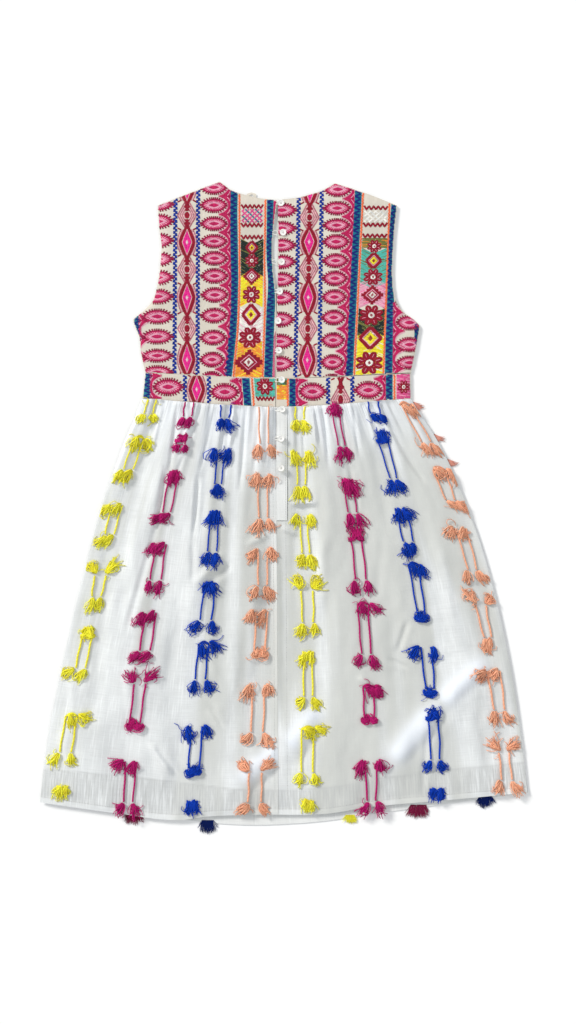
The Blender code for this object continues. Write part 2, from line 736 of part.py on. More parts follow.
def yarn_ladder(ladder, surfaces):
    """Make one column of clipped yarn: its rails, and a lock at each tuft."""
    lines, lanes = ladder_lines(ladder)
    shape = bmesh.new()
    rows = []
    for distance, outer, inner in lines:
        y = WAIST_LEVEL - distance
        across = mix(ladder.across, ladder.waist, math.exp(-distance / WAIST_REACH))
        x = mix(SKIRT_LEFT(y), SKIRT_RIGHT(y), across)
        y = min(y, BAND_BOTTOM(x) - EDGE_MARGIN)
        y = max(y, BACK_HEM(x) + EDGE_MARGIN)
        rows.append([(x + offset, y, 0.0) for offset in (-outer, -inner, inner, outer)])
    made = {}

    def corner(i, j):
        if (i, j) not in made:
            made[i, j] = shape.verts.new(rows[i][j])
        return made[i, j]

    head = shape.faces.layers.int.new("head")
    for i, filled in enumerate(lanes[:-1]):
        for j in range(3):
            if filled[j]:
                cell = (corner(i, j), corner(i + 1, j), corner(i + 1, j + 1), corner(i, j + 1))
                face = shape.faces.new(cell)
                if all(filled) and j != 1:
                    towards_top = lines[i][1] == TUFT_OUTER
                    face[head] = 1 if towards_top else -1
    lift_clear(shape, surfaces)
    upper = raise_wall(shape, lambda vert: YARN_WALL)
    for face in [face for face in upper if face[head]]:
        add_lock(shape, face, face[head])
    bmesh.ops.triangulate(shape, faces=shape.faces)
    finish_object(shape, f"yarn_ladder_{ladder.name}", ladder.colour)


def grow(shape, root):
    """Extrude one face of a closed shape and return the new face."""
    grown = bmesh.ops.extrude_face_region(shape, geom=[root])["geom"]
    shape.faces.remove(root)
    return next(part for part in grown if isinstance(part, bmesh.types.BMFace))


def add_lock(shape, root, way):
    """Grow one four-sided lock of yarn out of a face."""
    centre = root.calc_center_median()
    tip = grow(shape, root)
    for vert in tip.verts:
        vert.co = centre + (vert.co - centre) * LOCK_TIP
        vert.co += Vector((0.0, way * LOCK_LEAN, LOCK_RISE))


def edge_tuft(tuft):
    """Make a tuft of the front that shows past the edge: a backing and its locks."""
    half = LOCK_WIDTH * tuft.locks / 2
    shares = [k / EDGE_STEPS for k in range(EDGE_STEPS + 1)]
    if tuft.edge == "hem":
        ends = [tuft.place - half, tuft.place + half]
        line = [FRONT_HEM(mix(ends[0], ends[1], f)) for f in shares]
        slope = (line[-1] - line[0]) / (2 * half)
        tangent = Vector((1.0, slope, 0.0)).normalized()
        outward = Vector((tangent.y, -tangent.x, 0.0))
        sag = min(place - mix(line[0], line[-1], f) for place, f in zip(line, shares))
        start = Vector((tuft.place, mix(line[0], line[-1], 0.5) + sag, 0.0))
    else:
        ends = [tuft.place + half, tuft.place - half]
        line = [SKIRT_RIGHT(mix(ends[0], ends[1], f)) for f in shares]
        slope = (line[-1] - line[0]) / (2 * half)
        tangent = Vector((slope, -1.0, 0.0)).normalized()
        outward = Vector((-tangent.y, tangent.x, 0.0))
        bulge = max(place - mix(line[0], line[-1], f) for place, f in zip(line, shares))
        start = Vector((mix(line[0], line[-1], 0.5) + bulge, tuft.place, 0.0))
    start += outward * (TUFT_CLEAR + BACKING_DEPTH)
    shape = bmesh.new()
    columns = []
    for k in range(tuft.locks + 1):
        foot = start + tangent * (LOCK_WIDTH * (k - tuft.locks / 2))
        low = shape.verts.new(foot + Vector((0, 0, FLOOR_CLEAR)))
        high = shape.verts.new(foot + Vector((0, 0, FLOOR_CLEAR + BACKING_HIGH)))
        columns.append((low, high))
    faces = []
    for (low, high), (next_low, next_high) in zip(columns, columns[1:]):
        faces.append(shape.faces.new((low, next_low, next_high, high)))
    backed = bmesh.ops.extrude_face_region(shape, geom=faces)["geom"]
    for part in backed:
        if isinstance(part, bmesh.types.BMVert):
            part.co -= outward * BACKING_DEPTH
    roots = [face for face in shape.faces if all(v in sum(columns, ()) for v in face.verts)]
    for index, root in enumerate(roots):
        grow_edge_lock(shape, root, tangent, outward, tuft, index)
    bmesh.ops.triangulate(shape, faces=shape.faces)
    finish_object(shape, f"front_tuft_{tuft.name}", tuft.colour)


def grow_edge_lock(shape, root, tangent, outward, tuft, index):
    """Grow one lock out from a backing, in two steps, down to just above the floor."""
    lean = (index - (tuft.locks - 1) / 2) * LOCK_SPREAD
    reach = tuft.reach * (1 - LOCK_SHORTENING * (1 - math.sin(LOCK_TURN * index + 1.0)))
    for width, arch in LOCK_STEPS:
        centre = root.calc_center_median()
        root = grow(shape, root)
        for vert in root.verts:
            away = (vert.co - centre) * width
            vert.co = centre + away + outward * (reach / 2) + tangent * lean
            vert.co.z = FLOOR_CLEAR + BACKING_HIGH * width / 2 + arch + away.z


def button(index, x, surfaces):
    """Make one round button with a raised rim, seated on what lies under it."""
    y = BUTTON_TOP - BUTTON_PITCH * index
    seats = [highest(surfaces, x, y) or 0.0]
    for k in range(SEAT_SAMPLES):
        turn = math.tau * k / SEAT_SAMPLES
        for radius in (BUTTON_RADIUS, BUTTON_RADIUS / 2):
            place = highest(surfaces, x + radius * math.cos(turn), y + radius * math.sin(turn))
            seats.append(place or 0.0)
    shape = bmesh.new()
    bmesh.ops.create_circle(shape, cap_ends=True, segments=BUTTON_SIDES, radius=BUTTON_RADIUS)
    bmesh.ops.translate(shape, verts=shape.verts, vec=(x, y, max(seats) + GAP))
    top = raise_wall(shape, lambda vert: BUTTON_HIGH)
    bmesh.ops.inset_region(shape, faces=top, thickness=BUTTON_RIM, use_even_offset=True)
    bmesh.ops.inset_region(shape, faces=top, thickness=BUTTON_DISH, use_even_offset=True)
    bmesh.ops.translate(shape, verts=top[0].verts[:], vec=(0, 0, -BUTTON_DISH))
    bmesh.ops.triangulate(shape, faces=shape.faces)
    finish_object(shape, f"button_{index + 1:02d}", WHITE, BUTTON_ROUGHNESS)


def back_facing():
    """Make the plain facing that shows where the opening gapes."""
    foot = BAND_TOP(SEAM_TOP) - FACING_OVERLAP
    outline = [
        (FACING_LEFT, FACING_TOP), (FACING_LEFT, foot), (FACING_RIGHT, foot),
        (FACING_RIGHT, FACING_TOP),
    ]
    make_sheet("back_facing", outline, BACK_EDGE, LINING_WALL, WHITE)


def hanging_loop():
    """Make the ribbon loop whose top shows above the back neck."""
    left, right = LOOP_CENTRE - LOOP_HALF, LOOP_CENTRE + LOOP_HALF
    inner_left, inner_right = left + LOOP_WIDTH, right - LOOP_WIDTH
    corner = LOOP_TOP - LOOP_PEAK
    outline = [
        (left, LOOP_FOOT), (inner_left, LOOP_FOOT), (inner_left, corner - LOOP_WIDTH),
        (LOOP_CENTRE, LOOP_TOP - LOOP_WIDTH), (inner_right, corner - LOOP_WIDTH),
        (inner_right, LOOP_FOOT), (right, LOOP_FOOT), (right, corner),
        (LOOP_CENTRE, LOOP_TOP), (left, corner),
    ]
    make_sheet("hanging_loop", outline, LOOP_LEVEL, LINING_WALL, LINEN)


def main():
    """Build the dress from its lowest layer up."""
    clear_scene()
    bodice_front()
    waistband_front()
    skirt_front()
    skirt_lining()
    back_facing()
    hanging_loop()
    bodice = [bodice_back("left"), bodice_back("right")]
    band = [waistband_back("left"), waistband_back("right")]
    skirt = [skirt_back("left"), skirt_back("right")]
    stand = button_stand(skirt)
    for ladder in LADDERS:
        yarn_ladder(ladder, skirt)
    for tuft in EDGE_TUFTS:
        edge_tuft(tuft)
    for index, x in enumerate(BUTTON_PLACES):
        button(index, x, [*bodice, *band, *skirt, stand])


main()
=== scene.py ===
"""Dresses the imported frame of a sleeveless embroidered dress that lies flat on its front.

X runs across the dress, Y from hem to neck and Z up from the surface it lies on. Tables and
stitch patterns are in millimetres; Blender gets metres. Every cloth panel is a thin shell on
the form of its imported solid, and the embroidery is laid on it stitch by stitch.
"""

import logging
import math
from dataclasses import dataclass, field
from enum import Enum
from typing import NamedTuple

import bmesh
import bpy
import numpy as np
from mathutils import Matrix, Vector
from mathutils.bvhtree import BVHTree


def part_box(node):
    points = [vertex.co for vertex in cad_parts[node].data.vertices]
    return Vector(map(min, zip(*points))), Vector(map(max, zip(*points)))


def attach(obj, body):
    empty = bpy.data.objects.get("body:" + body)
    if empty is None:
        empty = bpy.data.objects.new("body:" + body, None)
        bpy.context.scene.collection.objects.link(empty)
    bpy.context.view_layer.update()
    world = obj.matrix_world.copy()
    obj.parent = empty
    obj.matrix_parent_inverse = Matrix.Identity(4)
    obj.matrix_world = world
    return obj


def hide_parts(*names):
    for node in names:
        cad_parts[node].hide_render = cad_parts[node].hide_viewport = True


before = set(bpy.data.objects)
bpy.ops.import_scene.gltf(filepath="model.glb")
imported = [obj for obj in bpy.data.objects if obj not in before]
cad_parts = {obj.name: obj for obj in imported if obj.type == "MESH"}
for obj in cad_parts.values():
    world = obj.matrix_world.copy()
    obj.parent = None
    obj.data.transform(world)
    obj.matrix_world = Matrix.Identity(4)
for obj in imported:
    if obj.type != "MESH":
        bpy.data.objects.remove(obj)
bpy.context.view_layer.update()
LOG = logging.getLogger("dress")
MM = 0.001
Array = np.ndarray
Piece = bpy.types.Object
Pair = tuple[float, float]
Triple = tuple[float, float, float]
DOWN = Vector((0, 0, -1))
ABOVE_ALL = 0.1


# Shader maths


class Value:
    """A shader socket that takes part in Python expressions."""

    def __init__(self, shader: "Shader", socket: bpy.types.NodeSocket) -> None:
        """Keep the socket and the shader it belongs to."""
        self.shader = shader
        self.socket = socket

    def _with(self, operation: str, first: object, second: object = 0.0) -> "Value":
        """Add one Math node and return its result."""
        return self.shader.node("ShaderNodeMath", {"operation": operation}, {0: first, 1: second})

    def __add__(self, other: object) -> "Value":
        """Sum."""
        return self._with("ADD", self, other)

    __radd__ = __add__

    def __mul__(self, other: object) -> "Value":
        """Product."""
        return self._with("MULTIPLY", self, other)

    __rmul__ = __mul__

    def wave(self) -> "Value":
        """Sine of the value."""
        return self._with("SINE", self)


class Shader:
    """The node tree of one finish."""

    def __init__(self, name: str, colour: Triple, roughness: float) -> None:
        """Start a material with a Principled shader of that colour and roughness.

        Args:
            name: The material's name.
            colour: Its colour.
            roughness: Its roughness.
        """
        self.material = bpy.data.materials.new(name)
        self.material.use_nodes = True
        self.tree = self.material.node_tree
        self.principled = self.tree.nodes["Principled BSDF"]
        self.principled.inputs["Base Color"].default_value = (*colour, 1.0)
        self.principled.inputs["Roughness"].default_value = roughness
        self.material.diffuse_color = (*colour, 1.0)

    def node(
        self, kind: str, settings: dict | None = None, sockets: dict | None = None, output: object = 0
    ) -> Value:
        """Add a node.

        Args:
            kind: The node's type.
            settings: Its properties, set first. Stops are a ramp's places and colours.
            sockets: Values or links of its inputs, by name or number.
            output: Name or number of the output to return.

        Returns:
            The chosen output.
        """
        made = self.tree.nodes.new(kind)
        for key, value in (settings or {}).items():
            if key == "stops":
                ramp = made.color_ramp.elements
                while len(ramp) < len(value):
                    ramp.new(0.5)
                for element, (place, colour) in zip(ramp, value):
                    element.position = place
                    element.color = (*colour, 1.0)
            else:
                setattr(made, key, value)
        for key, value in (sockets or {}).items():
            self.put(made.inputs[key], value)
        return Value(self, made.outputs[output])

    def put(self, socket: bpy.types.NodeSocket, value: object) -> None:
        """Link a value to a socket, or set the socket to a number or colour.

        Args:
            socket: A node's input.
            value: A value, number, vector or colour.
        """
        if isinstance(value, Value):
            self.tree.links.new(value.socket, socket)
        else:
            socket.default_value = value

    def place(self, uv: str = "") -> Value:
        """The piece's own UV map, or Object coordinates.

        Args:
            uv: The UV map's name, or none for Object coordinates.

        Returns:
            The coordinates.
        """
        if uv:
            return self.node("ShaderNodeUVMap", {"uv_map": uv})
        return self.node("ShaderNodeTexCoord", output="Object")

    def split(self, vector: Value) -> tuple[Value, Value, Value]:
        """The three parts of a vector."""
        parts = self.node("ShaderNodeSeparateXYZ", sockets={0: vector}).socket.node.outputs
        return tuple(Value(self, part) for part in parts)

    def noise(self, vector: Value, scale: float, detail: float = 2.0, rough: float = 0.5) -> Value:
        """Noise from 0 to 1."""
        sockets = {"Vector": vector, "Scale": scale, "Detail": detail, "Roughness": rough}
        return self.node("ShaderNodeTexNoise", sockets=sockets)

    def stretch(self, vector: Value, scale: Triple) -> Value:
        """A vector stretched along its axes."""
        return self.node("ShaderNodeVectorMath", {"operation": "MULTIPLY"}, {0: vector, 1: scale})

    def ranged(self, value: Value, low: float, high: float, to: Pair) -> Value:
        """A value moved from one range to another and held there."""
        return self.node("ShaderNodeMapRange", sockets={0: value, 1: low, 2: high, 3: to[0], 4: to[1]})

    def attribute(self, name: str) -> Value:
        """A number stored on the piece's points."""
        return self.node("ShaderNodeAttribute", {"attribute_name": name}, output="Fac")

    def blend(self, share: object, first: object, second: object) -> Value:
        """Two colours mixed."""
        return self.node("ShaderNodeMix", {"data_type": "RGBA"}, {0: share, 6: first, 7: second}, output=2)

    def colour(self, value: Value) -> None:
        """Set the base colour from a value."""
        self.put(self.principled.inputs["Base Color"], value)

    def bump(self, height: Value, strength: float, depth: float) -> None:
        """Raise the surface in the shader; depth is in metres."""
        sockets = {"Height": height, "Strength": strength, "Distance": depth}
        self.put(self.principled.inputs["Normal"], self.node("ShaderNodeBump", sockets=sockets))


def tint(colour: Triple, share: float) -> tuple[float, float, float, float]:
    """A colour made lighter or darker, with an alpha of 1."""
    return (*(min(1.0, part * share) for part in colour), 1.0)


@dataclass(frozen=True)
class WovenFinish:
    """A woven cloth: its colour, thread spacing in millimetres, slubs and fineness of relief."""

    name: str
    colour: Triple
    thread: float
    slubs: float
    relief: float
    roughness: float = 0.9
    shade: Triple = (0.5, 0.5, 0.5)
    sheer: bool = False
    warp_slubs: Triple = (400.0, 22.0, 1.0)
    weft_slubs: Triple = (22.0, 540.0, 1.0)
    crease_lines: Triple = (240.0, 5.0, 1.0)

    def material(self) -> bpy.types.Material:
        """Make the material: crossing threads, slubs along the warp and slow unevenness.

        Returns:
            The material.
        """
        shader = Shader(self.name, self.colour, self.roughness)
        shader.principled.inputs["Specular IOR Level"].default_value = 0.2
        spot = shader.place("cloth")
        u, v, _ = shader.split(spot)
        turn = 2 * math.pi / (self.thread * MM)
        weave = (u * turn).wave() * (v * turn).wave() * 0.5 + 0.5
        streak = shader.noise(shader.stretch(spot, self.warp_slubs), 1.0, 3.0, 0.6)
        weft = shader.noise(shader.stretch(spot, self.weft_slubs), 1.0, 2.0, 0.55)
        patches = shader.noise(spot, 14.0, 3.0)
        slub = shader.ranged(streak, 0.54, 0.7, (0.0, 1.0))
        gap = shader.ranged(streak, 0.5, 0.3, (0.0, 0.2 * self.slubs))
        paler, darker = tint(self.colour, 1.06), tint(self.colour, 0.9)
        ground = shader.blend(shader.ranged(patches, 0.3, 0.7, (0.0, 1.0)), darker, paler)
        thread = shader.ranged(weft, 0.3, 0.75, (0.0, 0.35 * self.slubs))
        ground = shader.blend(thread, ground, (*self.shade, 1.0))
        ground = shader.blend(gap, ground, (*self.shade, 1.0))
        ground = shader.blend(slub * (0.7 * self.slubs), ground, tint(self.colour, 1.17))
        # Thin cloth also gets painted shade and a painted highlight from its marks.
        if self.sheer:
            ground = self._see_through_and_painted_light(shader, ground, spot, streak)
        shader.colour(ground)
        height = weave * 0.5 + streak * (0.7 * self.slubs) + weft * 0.25
        shader.bump(height, 0.5, self.relief * MM)
        return shader.material

    def _see_through_and_painted_light(self, shader: Shader, ground: Value, spot: Value, streak: Value) -> Value:
        """Tone thin cloth by the marks on its points: painted shade in patches, a painted highlight on
        ridges, painted shade in the gathers' creases, and what lies behind it.

        Args:
            shader: The finish's node tree.
            ground: The cloth's colour so far.
            spot: Places on the cloth.
            streak: The slubs of the warp.

        Returns:
            The toned colour.
        """
        # Painted shade: dark grey crease lines in the gathers below the waist.
        crease_lines = shader.noise(shader.stretch(spot, self.crease_lines), 1.0, 1.0, 0.4)
        crease_shade = shader.ranged(crease_lines, 0.56, 0.64, (0.0, 0.48))
        gaps = shader.ranged(streak, 0.36, 0.62, (0.72, 0.06))
        dark = (*self.shade, 1.0)
        for name, share, colour in (
            # painted shade: soft grey patches where the folds would lie in shade
            ("lifted", 0.8, (0.565, 0.575, 0.545, 1.0)),
            # painted highlight: pale blue-white on the broad ridges and near the waist
            ("raised", 0.75, (0.84, 0.88, 0.95, 1.0)),
            # painted shade in the creases of the gathers
            ("gathered", crease_shade, (0.4, 0.42, 0.43, 1.0)),
            ("sheer", gaps, dark),
            ("hemline", 0.5, dark),
        ):
            ground = shader.blend(shader.attribute(name) * share, ground, colour)
        return ground


@dataclass(frozen=True)
class ThreadFinish:
    """An embroidery floss: each stitch has its own tone, and fine fibres run in it."""

    name: str
    colour: Triple
    roughness: float = 0.48
    gloss: float = 0.22
    tones: Pair = (0.76, 1.2)
    fibre: Triple = (2600.0, 2.0, 0.5)
    fibre_shows: Triple = (0.35, 0.7, 0.4)
    fibre_tone: float = 0.62
    relief: float = 0.35
    relief_depth: float = 0.00012

    def material(self) -> bpy.types.Material:
        """Make the material.

        Returns:
            The material.
        """
        shader = Shader(self.name, self.colour, self.roughness)
        shader.principled.inputs["Specular IOR Level"].default_value = self.gloss
        fibre = shader.noise(shader.place(), *self.fibre)
        darker, lighter = (tint(self.colour, share) for share in self.tones)
        body = shader.blend(shader.attribute("tone"), darker, lighter)
        low, high, most = self.fibre_shows
        shown = shader.ranged(fibre, low, high, (0.0, most))
        shader.colour(shader.blend(shown, body, tint(self.colour, self.fibre_tone)))
        shader.bump(fibre, self.relief, self.relief_depth)
        return shader.material


@dataclass(frozen=True)
class YarnFinish(ThreadFinish):
    """A soft dyed yarn: strands of slightly different tone with a dull fuzzy surface."""

    roughness: float = 0.82
    gloss: float = 0.15
    tones: Pair = (0.78, 1.2)
    fibre: Triple = (1500.0, 3.0, 0.6)
    fibre_shows: Triple = (0.4, 0.75, 0.45)
    fibre_tone: float = 1.35
    relief: float = 0.6
    relief_depth: float = 0.0003


@dataclass(frozen=True)
class ButtonFinish:
    """A polished white shirt button."""

    name: str = "button_white"
    colour: Triple = (0.9, 0.89, 0.86)

    def material(self) -> bpy.types.Material:
        """Make the material: faint cloudy bands under a clear surface, with fine scuffs.

        Returns:
            The material.
        """
        shader = Shader(self.name, self.colour, 0.28)
        shader.principled.inputs["Coat Weight"].default_value = 0.4
        spot = shader.place()
        cloud = shader.noise(shader.stretch(spot, (1.0, 2.6, 1.0)), 190.0, 4.0, 0.6)
        stops = ((0.3, (0.8, 0.79, 0.75)), (0.55, self.colour), (0.8, (0.95, 0.94, 0.92)))
        shader.colour(shader.node("ShaderNodeValToRGB", {"stops": stops}, {0: cloud}))
        scuff = shader.ranged(shader.noise(spot, 1400.0, 2.0), 0.3, 0.8, (0.22, 0.42))
        shader.put(shader.principled.inputs["Roughness"], scuff)
        shader.bump(cloud, 0.2, 0.0002)
        return shader.material


class Floss(Enum):
    """The embroidery threads."""

    MAGENTA = ThreadFinish("floss_magenta", (0.53, 0.010, 0.10))
    PINK = ThreadFinish("floss_pink", (0.74, 0.085, 0.27))
    PALE = ThreadFinish("floss_pale_pink", (0.78, 0.36, 0.48))
    WHITE = ThreadFinish("floss_white", (0.86, 0.82, 0.76))
    WINE = ThreadFinish("floss_wine", (0.29, 0.004, 0.022))
    PLUM = ThreadFinish("floss_plum", (0.25, 0.004, 0.042))
    ROSE = ThreadFinish("floss_rose", (0.8, 0.018, 0.27))
    ECHO = ThreadFinish("floss_echo", (0.46, 0.15, 0.19))
    BLUSH = ThreadFinish("floss_blush", (0.74, 0.45, 0.46))
    BLUE = ThreadFinish("floss_blue", (0.003, 0.026, 0.27))
    TEAL = ThreadFinish("floss_teal", (0.006, 0.155, 0.235))
    CORAL = ThreadFinish("floss_coral", (0.95, 0.16, 0.055))
    ORANGE = ThreadFinish("floss_orange", (0.92, 0.29, 0.04))
    YELLOW = ThreadFinish("floss_yellow", (0.9, 0.74, 0.03))
    MINT = ThreadFinish("floss_mint", (0.08, 0.46, 0.38))
    BLACK = ThreadFinish("floss_black_green", (0.012, 0.022, 0.018))
    OLIVE = ThreadFinish("floss_olive", (0.17, 0.17, 0.04))
    COTTON = ThreadFinish("floss_cotton", (0.70, 0.70, 0.67))
    # Painted shade: a grey thread for the skirt's hem and seam stitching, darker than the white cloth, so
    # the stitched lines read as shaded.
    SHADE = ThreadFinish("floss_seam_shade", (0.5, 0.5, 0.49))
    NAVY = ThreadFinish("floss_navy", (0.002, 0.016, 0.17))


LINEN = WovenFinish("linen_natural", (0.70, 0.645, 0.56), 0.8, 0.55, 0.25, 0.9, (0.55, 0.49, 0.40))
COTTON = WovenFinish(
    "cotton_slub", (0.765, 0.785, 0.79), 0.6, 0.8, 0.22, 0.88, (0.50, 0.51, 0.505), True
)
COTTON_PLAIN = WovenFinish(
    "cotton_plain", (0.8, 0.81, 0.8), 0.6, 0.6, 0.2, 0.88, (0.55, 0.56, 0.55)
)
LINING = WovenFinish("lining_voile", (0.74, 0.74, 0.73), 0.4, 0.3, 0.1, 0.85, (0.62, 0.62, 0.61))
RIBBON = WovenFinish("ribbon_satin", (0.8, 0.74, 0.64), 0.35, 0.1, 0.06, 0.4, (0.6, 0.6, 0.6))


class YarnColour(Enum):
    """The yarns of the ladders."""

    YELLOW = YarnFinish("yarn_yellow", (1.0, 0.83, 0.05))
    MAGENTA = YarnFinish("yarn_magenta", (0.47, 0.012, 0.15))
    BLUE = YarnFinish("yarn_blue", (0.003, 0.045, 0.43))
    CORAL = YarnFinish("yarn_coral", (1.0, 0.43, 0.27))


# Painted shade: darker copies of the yarns for the front's tufts, which lie in shade under the back;
# yellow keeps its own.
SHADED = {
    YarnColour.YELLOW: YarnColour.YELLOW.value,
    YarnColour.MAGENTA: YarnFinish("yarn_magenta_shaded", (0.22, 0.012, 0.055)),
    YarnColour.BLUE: YarnFinish("yarn_blue_shaded", (0.002, 0.012, 0.11)),
    YarnColour.CORAL: YarnFinish("yarn_coral_shaded", (0.7, 0.31, 0.24)),
}

MATERIALS: dict[str, bpy.types.Material] = {}


def finish_of(finish: object) -> bpy.types.Material:
    """The material of a finish, made once.

    Args:
        finish: The finish.

    Returns:
        Its material.
    """
    if finish.name not in MATERIALS:
        MATERIALS[finish.name] = finish.material()
    return MATERIALS[finish.name]


# Small mathematics


def eased(share: Array) -> Array:
    """Smooth step from 0 to 1."""
    share = np.clip(share, 0.0, 1.0)
    return share * share * (3 - 2 * share)


def uneven(x: Array, y: Array, pitch: float, seed: int) -> Array:
    """Smooth uneven values from -1 to 1 over a plane, with bumps about one pitch across.

    Args:
        x: Places across.
        y: Places along.
        pitch: Size of a bump.
        seed: Number of the pattern.

    Returns:
        A value for each place.
    """
    gx, gy = np.asarray(x) / pitch, np.asarray(y) / pitch
    ix, iy = np.floor(gx).astype(np.int64), np.floor(gy).astype(np.int64)
    fx, fy = eased(gx - ix), eased(gy - iy)

    def corner(dx: int, dy: int) -> Array:
        """Value at one corner of the cell.

        Args:
            dx: The corner's side across, 0 or 1.
            dy: Its side along.

        Returns:
            A value from -1 to 1.
        """
        mixed = ((ix + dx) * 374761393 + (iy + dy) * 668265263 + seed * 974634777) & 0x7FFFFFFF
        mixed = ((mixed ^ (mixed >> 13)) * 1274126177) & 0x7FFFFFFF
        return ((mixed ^ (mixed >> 16)) & 0xFFFF) / 32767.5 - 1.0

    low = corner(0, 0) * (1 - fx) + corner(1, 0) * fx
    high = corner(0, 1) * (1 - fx) + corner(1, 1) * fx
    return low * (1 - fy) + high * fy


def evenly(line: Array, count: int) -> Array:
    """Points evenly spaced along a line of points.

    Args:
        line: The points, one to a row.
        count: How many points to make.

    Returns:
        The new points.
    """
    steps = np.linalg.norm(np.diff(line[:, :2], axis=0), axis=1)
    along = np.concatenate(([0.0], np.cumsum(steps)))
    at = np.linspace(0.0, along[-1], count)
    return np.stack([np.interp(at, along, line[:, k]) for k in range(line.shape[1])], axis=1)


def softened(line: Array, rounds: int) -> Array:
    """A line with its facets smoothed away and its ends kept.

    Args:
        line: The points.
        rounds: How often they are smoothed.

    Returns:
        The smoothed points.
    """
    line = line.copy()
    for _ in range(rounds):
        line[1:-1] = 0.25 * line[:-2] + 0.5 * line[1:-1] + 0.25 * line[2:]
    return line


def link(name: str, mesh: bpy.types.Mesh) -> Piece:
    """Put a mesh in the scene as an object at the origin.

    Args:
        name: The piece's name.
        mesh: Its mesh.

    Returns:
        The piece.
    """
    made = bpy.data.objects.new(name, mesh)
    bpy.context.scene.collection.objects.link(made)
    return made


def mark(mesh: bpy.types.Mesh, name: str, values: Array) -> None:
    """Store a number on each point of a mesh, for its finish to read."""
    made = mesh.attributes.new(name, "FLOAT", "POINT")
    made.data.foreach_set("value", values.astype(np.float32).ravel())


def only(chosen: Piece) -> None:
    """Deselect all, then select one object and make it active.

    Args:
        chosen: The piece.
    """
    bpy.ops.object.select_all(action="DESELECT")
    chosen.select_set(True)
    bpy.context.view_layer.objects.active = chosen


def hand_over(piece: Piece, node: str = "") -> None:
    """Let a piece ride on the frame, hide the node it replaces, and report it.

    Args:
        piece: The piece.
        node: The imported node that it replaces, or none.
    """
    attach(piece, "root")
    if node:
        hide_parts(node)
    LOG.info("%s: %d faces", piece.name, len(piece.data.polygons))


def box_corners(node: str) -> tuple[Pair, ...]:
    """The corners of a node's box seen from above, clockwise from upper left.

    Args:
        node: The node's name.

    Returns:
        The four corners, in millimetres.
    """
    low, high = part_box(node)
    x0, y0, x1, y1 = low.x / MM, low.y / MM, high.x / MM, high.y / MM
    return ((x0, y1), (x1, y1), (x1, y0), (x0, y0))


# Cloth panels


@dataclass
class Crease:
    """A soft trough or ridge of the cloth from one point to another; a trough has shoulders."""

    x0: float
    y0: float
    x1: float
    y1: float
    width: float
    rise: float

    def height(self, x: Array, y: Array) -> Array:
        """Rise of the crease over the plane, in millimetres.

        Args:
            x: Places across the dress.
            y: Places along it.

        Returns:
            The rise at each place.
        """
        ax, ay = self.x1 - self.x0, self.y1 - self.y0
        length = ax * ax + ay * ay
        share = np.clip(((x - self.x0) * ax + (y - self.y0) * ay) / length, 0.0, 1.0)
        bend = 0.25 * self.width * uneven(x, y, 46.0, 5)
        away = np.hypot(x + bend - self.x0 - share * ax, y - self.y0 - share * ay) / self.width
        fade = np.minimum(1.0, np.minimum(5 * share + 0.25, 4 * (1 - share)))
        shape = np.exp(-away * away)
        if self.rise < 0:
            shape = shape - 0.55 * np.exp(-((away / 2.3) ** 2))
        return self.rise * fade * shape


